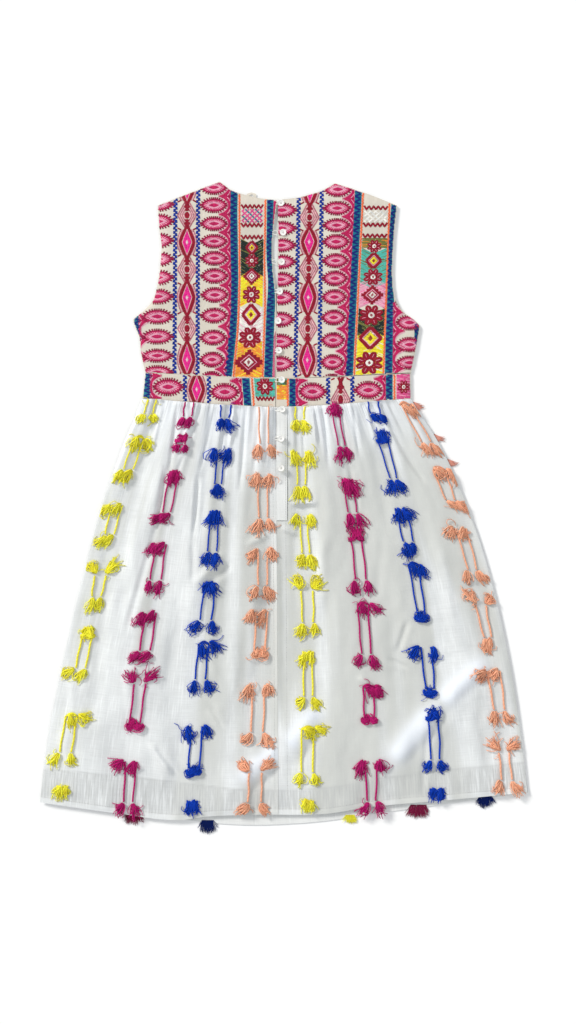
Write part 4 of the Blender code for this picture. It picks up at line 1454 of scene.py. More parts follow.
    def rosette(self, radius: float) -> Motif:
        """A flower of plain petals round a pale middle.

        Args:
            radius: Its radius.

        Returns:
            The motif.
        """
        made = Motif()
        wide = radius * math.tan(math.pi / self.petals) * 0.62
        for k in range(self.petals):
            t = 2 * math.pi * (k + 0.5) / self.petals
            c, n = math.cos(t), math.sin(t)
            petal = []
            for x, y in oval(radius * 0.34, wide, 12):
                out = x + radius * 0.66
                petal.append((c * out - n * y, n * out + c * y))
            made.hatch(Floss.WINE, petal, 0.95, abs(c) > 0.7, 0.5)
            x0, y0, x1, y1 = c * radius * 0.5, n * radius * 0.5, c * radius * 0.8, n * radius * 0.8
            made.line(Floss.PALE, x0, y0, x1, y1, 0.8, 0.62)
        made.hatch(Floss.WINE, oval(radius * 0.42, radius * 0.42, 12), 0.9, False, 0.45)
        made.hatch(Floss.WHITE, oval(radius * 0.27, radius * 0.27, 12), 0.9, False, 0.6)
        made.hatch(Floss.WINE, oval(radius * 0.11, radius * 0.13, 8), 0.8, False, 0.75)
        return made

    def lozenge(self, wide: float, high: float, heart: Floss) -> Motif:
        """A diamond in rings of wine and pale thread round a coloured heart.

        Args:
            wide: Half its width.
            high: Half its height.
            heart: Thread of its heart.

        Returns:
            The motif.
        """
        made = Motif()
        made.satin(Floss.WINE, closed_rhomb(wide * 0.86, high * 0.86), 5.4, 0.95, 0.5)
        made.path(Floss.PALE, closed_rhomb(wide * 0.64, high * 0.64), 1.2, 0.62)
        made.hatch(heart, rhomb(wide * 0.52, high * 0.52), 0.95, False, 0.42)
        made.hatch(Floss.WINE, rhomb(wide * 0.2, high * 0.24), 0.9, True, 0.6)
        return made


class Medallion(Enum):
    """The plain figures of the narrow panels."""

    ROSETTE = "a flower of eight petals"
    STEPPED = "a stepped diamond"
    LOZENGE = "a diamond in rings"


@dataclass
class FillBlock:
    """A stretch of the narrow panel filled in one colour: its upper and lower level."""

    top: float
    low: float
    floss: Floss
    second: Floss
    point: float = 0.0


@dataclass
class Embroidery:
    """Sews stripes of motifs on one cloth."""

    stitching: Stitching
    motifs: FolkMotifs = field(default_factory=FolkMotifs)
    almond_pitch: float = 25.5
    lone_pitch: float = 34.0
    comb_off: float = 3.4
    comb_pitch: float = 29.0
    dots_repeat: float = 6.8
    coral_repeat: float = 4.6
    line_half: float = 2.0
    panel_half: float = 17.0

    def almonds(
        self, stripe: AnyStripe, centres: tuple[float, ...], comb: float = 0.0, most: float = 1.12
    ) -> None:
        """Sew a column of almonds; comb is the hand of its comb edge, or 0 for none.

        Args:
            stripe: The stripe.
            centres: Levels of the almonds, highest first.
            comb: Side of the comb edge, -1 or 1, or 0 for none.
            most: The most that an almond is stretched.
        """
        one = self.motifs.almond()
        gaps = np.abs(np.diff(centres)) if len(centres) > 1 else np.array([self.lone_pitch])
        for k, y in enumerate(centres):
            pitch = float(gaps[min(k, len(gaps) - 1)])
            stretch = min(most, pitch / self.almond_pitch)
            self.stitching.sew(one, stripe, y, self.motifs.almond_half - 0.6, stretch=stretch)
            if comb:
                self.comb(stripe, y - pitch / 2, pitch, comb)
                if k == 0:
                    self.comb(stripe, y + pitch / 2, pitch, comb)

    def comb(self, stripe: AnyStripe, y: float, pitch: float, hand: float) -> None:
        """Sew one point of the comb edge at the side of a stripe.

        Args:
            stripe: The stripe.
            y: Level of the point.
            pitch: Spacing of the points.
            hand: Side of the stripe, -1 for left or 1 for right.
        """
        part = self.motifs.scallop(pitch, hand)
        edge = float(stripe.bend(hand, y, 1.0)) + self.comb_off * hand
        self.stitching.sew(part, None, y, x=edge)

    def lone_comb(self, edge: float, top: float, low: float) -> None:
        """Sew a comb edge that has no almonds beside it, where the side hides them."""
        for y in np.arange(low, top, self.comb_pitch):
            self.comb(upright(edge, edge + 1.0), float(y), self.comb_pitch, -1.0)

    def repeated(self, motif: Motif, stripe: AnyStripe, repeat: float, half: float) -> None:
        """Sew a motif over and over down a stripe.

        Args:
            motif: The motif.
            stripe: The stripe.
            repeat: Spacing down the stripe.
            half: Half the width that the motif was drawn for.
        """
        y = stripe.top + 20.0
        while y > stripe.low - repeat:
            self.stitching.sew(motif, stripe, y, half)
            y -= repeat

    def band(self, stripe: AnyStripe) -> None:
        """Sew the wide band."""
        self.repeated(self.motifs.band(), stripe, self.motifs.band_repeat, self.motifs.band_half)

    def thin(self, top: float, low: float, stripe: AnyStripe) -> Stripe:
        """A thin stripe from one place across the dress to another, as long as a given one."""
        half = self.line_half
        return Stripe(top - half, top + half, low - half, low + half, stripe.top, stripe.low)

    def dots(self, top: float, low: float, stripe: AnyStripe) -> None:
        """Sew a line of blue dashes."""
        line = self.thin(top, low, stripe)
        self.repeated(self.motifs.dots(), line, self.dots_repeat, self.line_half)

    def coral(self, stripe: AnyStripe) -> None:
        """Sew a thin stripe of coral chain stitch."""
        self.repeated(self.motifs.chain_stitch(), stripe, self.coral_repeat, self.line_half)

    def figure(self, motif: Motif, stripe: AnyStripe, y: float) -> None:
        """Sew one figure in a narrow panel, at a level."""
        self.stitching.sew(motif, stripe, y, self.panel_half)

    def chain(self, stripe: AnyStripe, diamonds: tuple[float, ...], knots: tuple[float, ...]) -> None:
        """Sew the chain of long diamonds and knots, each reaching half way to the next.

        Args:
            stripe: The stripe.
            diamonds: Levels of the diamonds.
            knots: Levels of the knots.
        """
        places = sorted([*diamonds, *knots], reverse=True)
        for k, y in enumerate(places):
            above = places[k - 1] - y if k else y - places[k + 1]
            below = y - places[k + 1] if k + 1 < len(places) else above
            near = (above + below) / 2
            if y in diamonds:
                motif = self.motifs.chain_diamond(near * 0.565)
            else:
                motif = self.motifs.chain_knot(near * 0.455)
            scales = (above / near, below / near)
            motif.rows = [
                (floss, x0, y0 * scales[y0 < 0], x1, y1 * scales[y1 < 0], wide, high)
                for floss, x0, y0, x1, y1, wide, high in motif.rows
            ]
            self.stitching.sew(motif, stripe, y, self.motifs.chain_half)

    def fills(self, stripe: AnyStripe, blocks: tuple[FillBlock, ...]) -> None:
        """Fill stretches of the narrow panel with slanting stitches of two close colours.

        Args:
            stripe: The stripe.
            blocks: The stretches.
        """
        random = self.stitching.random
        for block in blocks:
            made = Motif()
            y = block.top
            while y > block.low:
                x = -9.8
                while x < 9.7:
                    reach = min(random.uniform(3.0, 6.0), 10.3 - x)
                    floss = block.second if random.random() < 0.16 else block.floss
                    tip = y + block.point * (1 - abs(x) / 10.0)
                    far = y + block.point * (1 - abs(x + reach) / 10.0)
                    made.line(floss, x, tip + 0.7 * random.random(), x + reach, far, 1.4, 0.16)
                    x += reach
                y -= 1.0
            self.stitching.sew(made, stripe, 0.0, 10.0)


# Bodice and waistband


@dataclass
class BodicePanel(ClothPanel):
    """A bodice panel: nearly flat, with slow waves, puckers at its seams and a few creases."""

    creases: tuple[Crease, ...] = ()
    wide: float = 190.0
    tall: float = 280.0
    clear: float = 0.35

    def relief(self, at: Spots) -> Array:
        """Waves of the worn cloth, creases, and puckers along the seams.

        Args:
            at: The panel's points.

        Returns:
            The rise at each point.
        """
        x, y, u, v = at
        rise = 0.55 * uneven(x, y, 55.0, 11) + 0.28 * uneven(x, y, 19.0, 12)
        for crease in self.creases:
            rise += crease.height(x, y)
        side = np.minimum(np.minimum(u, 1 - u) * self.wide, np.minimum(v, 1 - v) * self.tall)
        pucker = 0.3 * np.sin(y / 2.6 + 3 * u) * np.exp(-side / 7.0)
        seam = -0.2 * np.exp(-((1 - v) * self.tall / 3.0) ** 2)
        return (rise + pucker) * eased(side / 9.0) + seam + self.clear


@dataclass
class Bodice:
    """Both back panels with their embroidery, the front, the facing and the hanging loop."""

    cell: float = 2.6
    stitch_pitch: float = 1.0
    left_stripes = {
        "almonds_outer": Stripe(-218.7, -169.5, -218.7, -170.6),
        "almonds": BentStripe((
            (202.0, -111.4, 37.5), (229.0, -110.4, 38.0), (261.0, -108.6, 40.8),
            (290.0, -107.4, 42.0), (326.0, -106.0, 42.6), (410.0, -107.2, 41.8),
            (490.0, -107.6, 42.6),
        )),
        "chain": upright(-164.4, -133.4),
        "band": BentStripe((
            (202.0, -86.2, 12.0), (236.0, -82.4, 12.2), (266.0, -79.1, 11.8),
            (297.0, -77.0, 11.2), (350.0, -75.7, 11.2), (390.0, -76.4, 11.8),
            (451.0, -77.4, 11.8), (490.0, -76.4, 11.0),
        )),
        "coral": BentStripe((
            (202.0, -77.6, 4.0), (236.0, -74.6, 4.0), (266.0, -71.6, 4.0),
            (297.0, -69.6, 4.0), (350.0, -68.3, 4.0), (410.0, -68.3, 4.0),
            (490.0, -68.6, 4.0),
        )),
        "panel": BentStripe((
            (202.0, -55.3, 41.0), (236.0, -53.6, 38.4), (266.0, -51.9, 35.8),
            (297.0, -50.6, 34.3), (350.0, -49.6, 33.7), (410.0, -49.3, 34.4),
            (490.0, -48.6, 35.3),
        )),
        "band_inner": BentStripe((
            (202.0, -24.2, 12.6), (260.0, -22.2, 12.8), (312.0, -20.0, 13.0),
            (328.0, -19.2, 11.6), (348.0, -19.7, 9.4), (366.0, -21.5, 8.4),
            (384.0, -22.4, 8.8), (400.0, -22.9, 8.6), (425.0, -21.6, 9.8),
            (471.0, -20.9, 10.2), (490.0, -20.8, 10.2),
        )),
        "coral_inner": BentStripe((
            (202.0, -32.8, 4.0), (312.0, -29.0, 4.0), (384.0, -30.0, 4.0),
            (425.0, -29.0, 4.0), (490.0, -28.4, 4.0),
        )),
    }
    right_stripes = {
        "almonds_half": Stripe(-26.0, 20.2, -29.0, 14.6),
        "chain": Stripe(24.5, 55.5, 19.9, 50.9),
        "almonds": Stripe(60.8, 104.7, 56.2, 91.4),
        "band": Stripe(109.3, 120.1, 93.9, 105.8),
        "panel": Stripe(123.7, 161.4, 109.4, 151.0),
        "band_outer": BentStripe((
            (202.0, 160.8, 11.6), (260.0, 162.2, 12.0), (318.0, 163.8, 11.2),
            (344.0, 162.8, 8.8), (374.0, 162.7, 7.8), (404.0, 164.2, 7.8),
            (430.0, 166.2, 7.8), (464.0, 169.4, 9.0), (490.0, 171.6, 9.0),
        )),
        "almonds_side": upright(172.0, 214.0),
    }

    def __post_init__(self) -> None:
        """Describe the panels."""
        self.left = BodicePanel(
            "bodice_back_left_cloth", "bodice_back_left", "embroidered_cloth", LINEN,
            ((-194.0, 465.1), (-10.6, 473.6), (-13.1, 199.4), (-213.0, 208.2)),
            self.cell, (0.215, 0.300), rests_on=("bodice_front_cloth",), cut_area=0.0525, soften=2,
            creases=(
                Crease(-205, 296, -120, 262, 9, -0.9), Crease(-190, 350, -150, 330, 8, 0.8),
                Crease(-60, 330, -20, 300, 9, -0.7), Crease(-120, 240, -60, 214, 8, 0.8),
                Crease(-18, 400, -22, 330, 5, 0.9),
            ),
        )
        self.right = BodicePanel(
            "bodice_back_right_cloth", "bodice_back_right", "embroidered_cloth", LINEN,
            ((-9.4, 473.6), (174.0, 465.1), (195.0, 208.2), (-12.3, 199.4)),
            self.cell, (0.218, 0.300), rests_on=("bodice_front_cloth",), cut_area=0.0525, soften=2,
            creases=(
                Crease(196, 290, 110, 258, 9, -0.9), Crease(160, 340, 120, 322, 8, 0.8),
                Crease(20, 330, 60, 296, 9, -0.7), Crease(60, 236, 120, 212, 8, 0.8),
            ),
        )
        self.front = ClothPanel(
            "bodice_front_cloth", "bodice_front", "embroidered_cloth", LINEN,
            ((-194.0, 465.1), (174.0, 465.1), (195.0, 208.2), (-213.0, 208.2)),
            6.0, (0.440, 0.300), cut_area=0.100, thickness=0.6,
        )
        self.facing = ClothPanel(
            "opening_facing_cloth", "back_facing", "skirt_cotton", COTTON_PLAIN,
            box_corners("back_facing"), 4.0, (0.030, 0.280), thickness=0.5,
            rests_on=("bodice_front_cloth",),
        )
        self.loop = ClothPanel(
            "hanging_loop_ribbon", "hanging_loop", "ribbon", RIBBON,
            box_corners("hanging_loop"), 2.0, (0.014, 0.010), thickness=0.3, cut_area=0.00012,
        )

    def build(self) -> None:
        """Make the cloth, then the embroidery on it."""
        for panel in (self.front, self.facing, self.left, self.right, self.loop):
            panel.build()
        self.embroider_left()
        self.embroider_right()

    def embroider_left(self) -> None:
        """Sew the left back panel's stripes."""
        ground = Ground([self.left.shell], self.stitch_pitch)
        work = Embroidery(Stitching("embroidery_back_left", ground, 21))
        stripes = self.left_stripes
        work.almonds(
            stripes["almonds_outer"],
            (466.6, 440.5, 411.0, 382.5, 354.2, 324.9, 294.1, 263.3, 234.0, 208.5),
        )
        work.lone_comb(-219.5, 320.0, 230.0)
        work.dots(-166.6, -168.4, stripes["chain"])
        work.chain(stripes["chain"], (492.8, 408.1, 323.4, 227.9), (449.7, 366.5, 275.7, 184.0))
        work.dots(-131.8, -132.9, stripes["chain"])
        work.almonds(
            stripes["almonds"],
            (492.8, 465.1, 436.6, 409.6, 383.5, 356.5, 327.3, 295.7, 261.8, 227.9, 198.0), 1.0,
        )
        work.band(stripes["band"])
        work.coral(stripes["coral"])
        work.coral(stripes["coral_inner"])
        work.band(stripes["band_inner"])
        fold = Motif()
        turned = [(-15.6, 472.0), (-11.0, 472.0), (-14.4, 440.0), (-18.2, 402.0), (-16.8, 440.0)]
        fold.hatch(Floss.MAGENTA, turned, 1.0, False, 0.42)
        low_edge = [(-12.4, 276.0), (-15.4, 262.0), (-16.8, 225.0), (-17.6, 199.0), (-12.6, 199.0)]
        fold.hatch(Floss.MAGENTA, low_edge, 1.0, False, 0.42)
        fold.path(Floss.PALE, [(-14.0, 262.0), (-15.0, 230.0), (-15.4, 200.0)], 1.0, 0.6)
        work.stitching.sew(fold)
        work.fills(
            stripes["panel"],
            (
                FillBlock(413.0, 356.0, Floss.BLACK, Floss.OLIVE, -9.0),
                FillBlock(356.0, 308.0, Floss.YELLOW, Floss.ORANGE, 10.0),
                FillBlock(308.0, 256.0, Floss.WHITE, Floss.PALE, -12.0),
                FillBlock(256.0, 188.0, Floss.ORANGE, Floss.YELLOW, 9.0),
            ),
        )
        self.narrow_panel(
            work, stripes["panel"], (463.0, 434.5, 416.0), (Floss.PINK, Floss.TEAL),
            (
                (400.0, Medallion.LOZENGE, 9.5), (380.0, Medallion.ROSETTE, 10.5),
                (356.0, Medallion.STEPPED, 13.0), (328.0, Medallion.ROSETTE, 14.0),
                (297.0, Medallion.LOZENGE, 16.0), (262.0, Medallion.ROSETTE, 17.0),
                (224.0, Medallion.STEPPED, 19.0),
            ),
        )
        work.band(Stripe(-233.0, -223.0, -229.0, -219.0, 312.0, 262.0))
        work.stitching.build("embroidered_cloth")

    def embroider_right(self) -> None:
        """Sew the right back panel's stripes."""
        ground = Ground([self.right.shell], self.stitch_pitch)
        work = Embroidery(Stitching("embroidery_back_right", ground, 22))
        stripes = self.right_stripes
        work.almonds(
            stripes["almonds_half"],
            (457.4, 429.7, 403.5, 378.1, 351.1, 323.4, 289.5, 255.6, 221.8), 0.0,
        )
        work.dots(23.1, 17.2, stripes["chain"])
        work.chain(stripes["chain"], (490.0, 408.9, 323.6, 227.3), (446.0, 367.6, 275.5, 180.0))
        work.dots(58.2, 54.2, stripes["chain"])
        work.almonds(
            stripes["almonds"],
            (489.7, 460.5, 434.3, 408.9, 379.8, 352.7, 324.0, 292.6, 257.8, 223.9, 194.0), 1.0,
        )
        work.band(stripes["band"])
        work.coral(work.thin(121.9, 107.6, stripes["band"]))
        work.coral(work.thin(163.0, 152.6, stripes["band"]))
        work.band(stripes["band_outer"])
        work.almonds(stripes["almonds_side"], (316.0, 284.9, 251.0, 223.3, 198.0), 0.0)
        work.lone_comb(171.5, 330.0, 214.0)
        work.fills(
            stripes["panel"],
            (
                FillBlock(414.0, 399.0, Floss.OLIVE, Floss.ORANGE),
                FillBlock(399.0, 345.0, Floss.MINT, Floss.OLIVE, -9.0),
                FillBlock(345.0, 306.0, Floss.PALE, Floss.PINK, 9.0),
                FillBlock(306.0, 264.0, Floss.BLACK, Floss.OLIVE, -8.0),
                FillBlock(264.0, 188.0, Floss.YELLOW, Floss.WHITE, 8.0),
            ),
        )
        self.narrow_panel(
            work, stripes["panel"], (461.0, 435.0, 418.0), (Floss.WHITE, Floss.COTTON),
            (
                (402.0, Medallion.ROSETTE, 10.0), (380.0, Medallion.LOZENGE, 11.5),
                (355.0, Medallion.ROSETTE, 13.0), (327.0, Medallion.STEPPED, 14.5),
                (296.0, Medallion.ROSETTE, 16.0), (261.0, Medallion.LOZENGE, 17.0),
                (223.0, Medallion.ROSETTE, 18.0),
            ),
        )
        work.band(Stripe(200.5, 209.0, 200.5, 207.5, 300.0, 250.0))
        work.stitching.build("embroidered_cloth")

    @staticmethod
    def narrow_panel(
        work: Embroidery, stripe: AnyStripe, zigzags: tuple[float, ...], lattice: tuple[Floss, Floss],
        medallions: tuple[tuple[float, Medallion, float], ...],
    ) -> None:
        """Sew the zigzags, the small lattice and the plain medallions of the narrow panel.

        Args:
            work: The panel's embroidery.
            stripe: The stripe.
            zigzags: Levels of the zigzags, highest first.
            lattice: Threads of the lattice.
            medallions: Level, kind and size of each medallion.
        """
        for y in zigzags:
            work.figure(work.motifs.zigzag(16.0), stripe, y)
        middle, high = (zigzags[0] + zigzags[1]) / 2, (zigzags[0] - zigzags[1]) / 2 - 4.0
        work.figure(work.motifs.lattice(15.5, high, *lattice), stripe, middle)
        for y, kind, size in medallions:
            if kind is Medallion.ROSETTE:
                motif = work.motifs.rosette(size)
            elif kind is Medallion.STEPPED:
                motif = work.motifs.stepped(size)
            else:
                motif = work.motifs.lozenge(size * 0.92, size * 1.12, Floss.YELLOW)
            work.figure(motif, stripe, y)


@dataclass
class BandPanel(ClothPanel):
    """A waistband panel: a flat band, pressed at its seams."""

    tall: float = 41.0
    clear: float = 0.35

    def relief(self, at: Spots) -> Array:
        """Slight waves, and dips where it is sewn on.

        Args:
            at: The panel's points.

        Returns:
            The rise at each point.
        """
        edge = np.minimum(at.v, 1 - at.v) * self.tall
        rise = 0.35 * uneven(at.x, at.y, 30.0, 31) + 0.2 * uneven(at.x, at.y, 9.0, 32)
        return rise * eased(edge / 6.0) - 0.2 * np.exp(-((edge / 2.2) ** 2)) + self.clear


@dataclass
class Waistband:
    """The embroidered band between bodice and skirt."""

    top: float = 209.0
    low: float = 154.0
    cell: float = 2.4
    stitch_pitch: float = 0.9
    most: float = 1.3

    def __post_init__(self) -> None:
        """Describe the panels."""
        self.left = BandPanel(
            "waistband_left_cloth", "waistband_back_left", "embroidered_cloth", LINEN,
            ((-213.0, 207.9), (-12.6, 199.2), (-12.6, 155.6), (-217.6, 167.9)),
            self.cell, (0.210, 0.044), rests_on=("waistband_front_cloth",),
        )
        self.right = BandPanel(
            "waistband_right_cloth", "waistband_back_right", "embroidered_cloth", LINEN,
            ((-12.0, 199.2), (194.5, 206.6), (194.8, 167.9), (-12.0, 155.6)),
            self.cell, (0.210, 0.044), rests_on=("waistband_front_cloth",),
        )
        self.front = ClothPanel(
            "waistband_front_cloth", "waistband_front", "embroidered_cloth", LINEN,
            ((-213.0, 207.9), (194.5, 206.6), (194.8, 167.9), (-217.6, 167.9)),
            6.0, (0.414, 0.050), thickness=0.6,
        )

    def build(self) -> None:
        """Make the cloth, then the embroidery on it."""
        for panel in (self.front, self.left, self.right):
            panel.build()
        levels = (self.top, self.low)
        self.embroider_left(levels, upright(0.0, 1.0, *levels))
        self.embroider_right(levels)

    def embroider_left(self, levels: Pair, anywhere: Stripe) -> None:
        """Sew the left half.

        Args:
            levels: Upper and lower level of the stripes.
            anywhere: A stripe whose levels the thin lines take.
        """
        ground = Ground([self.left.shell], self.stitch_pitch)
        work = Embroidery(Stitching("embroidery_waist_left", ground, 23))
        work.band(Stripe(-215.0, -203.0, -216.5, -204.5, *levels))
        work.almonds(upright(-202.0, -154.0, *levels), (185.9,), -1.0, self.most)
        work.dots(-152.0, -152.5, anywhere)
        work.chain(upright(-149.5, -118.5, *levels), (182.3,), (224.6, 140.0))
        work.dots(-115.5, -115.0, anywhere)
        work.almonds(Stripe(-113.0, -70.0, -114.0, -67.0, *levels), (178.0,), 1.0, self.most)
        work.band(Stripe(-65.5, -53.5, -61.0, -49.5, *levels))
        work.coral(work.thin(-50.0, -46.0, anywhere))
        panel = Stripe(-47.0, -13.0, -43.0, -13.0, *levels)
        work.fills(panel, (FillBlock(206.0, 170.0, Floss.MINT, Floss.OLIVE),))
        work.figure(work.motifs.rosette(14.0), panel, 187.0)
        work.figure(work.motifs.zigzag(15.0), panel, 168.0)
        work.stitching.build("embroidered_cloth")

    def embroider_right(self, levels: Pair) -> None:
        """Sew the right half.

        Args:
            levels: Upper and lower level of the stripes.
        """
        ground = Ground([self.right.shell], self.stitch_pitch)
        work = Embroidery(Stitching("embroidery_waist_right", ground, 24))
        panel = upright(-11.5, 4.6, *levels)
        halves = (
            FillBlock(206.0, 188.0, Floss.OLIVE, Floss.MINT),
            FillBlock(188.0, 166.0, Floss.ORANGE, Floss.YELLOW),
        )
        work.fills(panel, halves)
        work.coral(work.thin(6.0, 6.0, panel))
        work.band(upright(8.2, 19.0, *levels))
        work.almonds(upright(22.0, 65.5, *levels), (178.7,), -1.0, self.most)
        work.dots(67.8, 67.8, panel)
        work.chain(upright(71.5, 102.5, *levels), (230.0, 102.0), (166.0,))
        work.dots(105.0, 105.0, panel)
        work.almonds(upright(107.5, 152.0, *levels), (181.0,), 1.0, self.most)
        work.band(upright(156.5, 167.0, *levels))
        work.coral(work.thin(169.6, 169.6, panel))
        edge = upright(172.5, 195.5, *levels)
        work.fills(edge, (FillBlock(206.0, 150.0, Floss.PINK, Floss.PALE),))
        work.stitching.sew(work.motifs.rosette(10.5), edge, 186.0, 12.0)
        work.stitching.build("embroidered_cloth")


# Skirt


@dataclass
class SkirtPanel(ClothPanel):
    """A gathered half of the skirt's back."""

    creases: tuple[Crease, ...] = ()
    phase: float = 0.0
    gathers: int = 19
    lining_hem: tuple[Array, Array] | None = None
    resting_level: float = 0.0
    flat_under: str = ""
    broad: float = 12.0
    tall: float = 635.0
    wide: float = 370.0
    spread: float = 420.0
    hem: float = 8.5
    clear: float = 0.5

    def relief(self, at: Spots) -> Array:
        """Fine gathers below the seam, listed creases, slow waves and the turned hem.

        The cloth stands clear of its solid, but not at the seam or under the button stand.

        Args:
            at: The panel's points.

        Returns:
            The rise at each point.
        """
        x, y, u, v = at
        below = v * self.tall
        place = u * self.gathers + 0.55 * np.sin(5.1 * u * math.pi + self.phase)
        place = place + 0.25 * uneven(u * 400.0, below * 0.3, 30.0, 41)
        ridge = np.abs(np.sin(math.pi * place)) ** 0.5 - 0.7
        strength = 1.0 + 0.6 * uneven(u * 300.0, below * 0.05, 25.0, 42)
        reach = 34.0 + 22.0 * uneven(u * 300.0, below * 0.0, 21.0, 43)
        rise = 1.5 * strength * ridge * np.exp(-((below / reach) ** 1.3))
        fan = u * self.spread
        narrow = 1.9 * uneven(fan, below * 0.3, 24.0, 45) * eased(below / 90.0 + 0.3)
        rise += 4.2 * uneven(fan, below * 0.2, 58.0, 44) + narrow
        rise += 1.6 * uneven(x * 1.3, y * 0.5, 62.0, 49)
        rise += 0.36 * uneven(x, y * 0.6, 11.0, 46)
        for crease in self.creases:
            rise += (1.3 if crease.width > self.broad else 2.4) * crease.height(x, y)
        hem = (1 - v) * self.tall
        turned = 0.55 * eased((self.hem - hem) / 1.6)
        pucker = 0.28 * np.sin(x / 3.4 + 2.0 * uneven(x, y, 40.0, 47)) * np.exp(-np.abs(hem - 9.0) / 7.0)
        side = np.minimum(u, 1 - u) * self.wide
        calm = eased(below / 4.0) * eased(hem / 14.0 + 0.1)
        if self.flat_under:
            low, high = (np.array(corner[:2]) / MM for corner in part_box(self.flat_under))
            off = np.maximum.reduce((low[0] - x, x - high[0], low[1] - y, y - high[1]))
            calm = calm * eased((off - 2.0) / 14.0)
        clear = np.where(calm > 0, self.clear, 0.0)
        return rise * calm * eased(side / 12.0 + 0.12) + turned + pucker + clear

    def settled(self, z: Array, level: Array) -> Array:
        """Let deep troughs rest on the lining, or on the front where there is none.

        Args:
            z: Heights of the cloth.
            level: Heights of its solid.

        Returns:
            The heights, none of them too low.
        """
        rest = np.minimum(self.resting_level, level - 0.3)
        over = z - rest
        return rest + (over + np.sqrt(over ** 2 + 0.6)) / 2

    def point_marks(self, at: Spots) -> dict[str, Array]:
        """Painted shade in patches and in the gathers' creases, a painted highlight on ridges, where the
        cloth has no lining, and the lining's hem.

        Args:
            at: The panel's points.

        Returns:
            The numbers, by attribute name.
        """
        x, y, u, v = at
        level = np.interp(x, *self.lining_hem)
        fan, below = u * self.spread + 60.0 * self.phase, v * self.tall
        # Painted shade: broad grey patches where folds would lie in shade; more right of the centre, less
        # at the waist, the centre seam and the left side.
        lifted = 0.9 * uneven(fan, below * 0.22, 44.0, 48) + 0.5 * uneven(fan, below * 0.1, 17.0, 50)
        lifted += 0.65 * np.exp(-(((x - 90.0) / 85.0) ** 2)) - 0.8 * eased((-110.0 - x) / 150.0)
        waist = np.exp(-((below / 80.0) ** 2))
        lifted -= 0.7 * waist + 0.25 * np.exp(-(((x + 25.0) / 40.0) ** 2))
        # Painted highlight: pale on the broad ridges, and near the waist.
        raised = sum(crease.height(x, y) for crease in self.creases if crease.width > self.broad)
        return {
            "raised": np.clip(raised / 2.0 + 0.5 * waist, 0.0, 1.0),
            "lifted": eased(0.5 + lifted),
            # Painted shade in the creases of the gathers, below the waist.
            "gathered": np.exp(-((below / 42.0) ** 1.4)),
            "sheer": eased((level + 1.0 - y) / 3.0) * eased(((1 - v) * self.tall - 7.5) / 1.5),
            "hemline": np.exp(-(((y - level) / 1.3) ** 2)),
        }


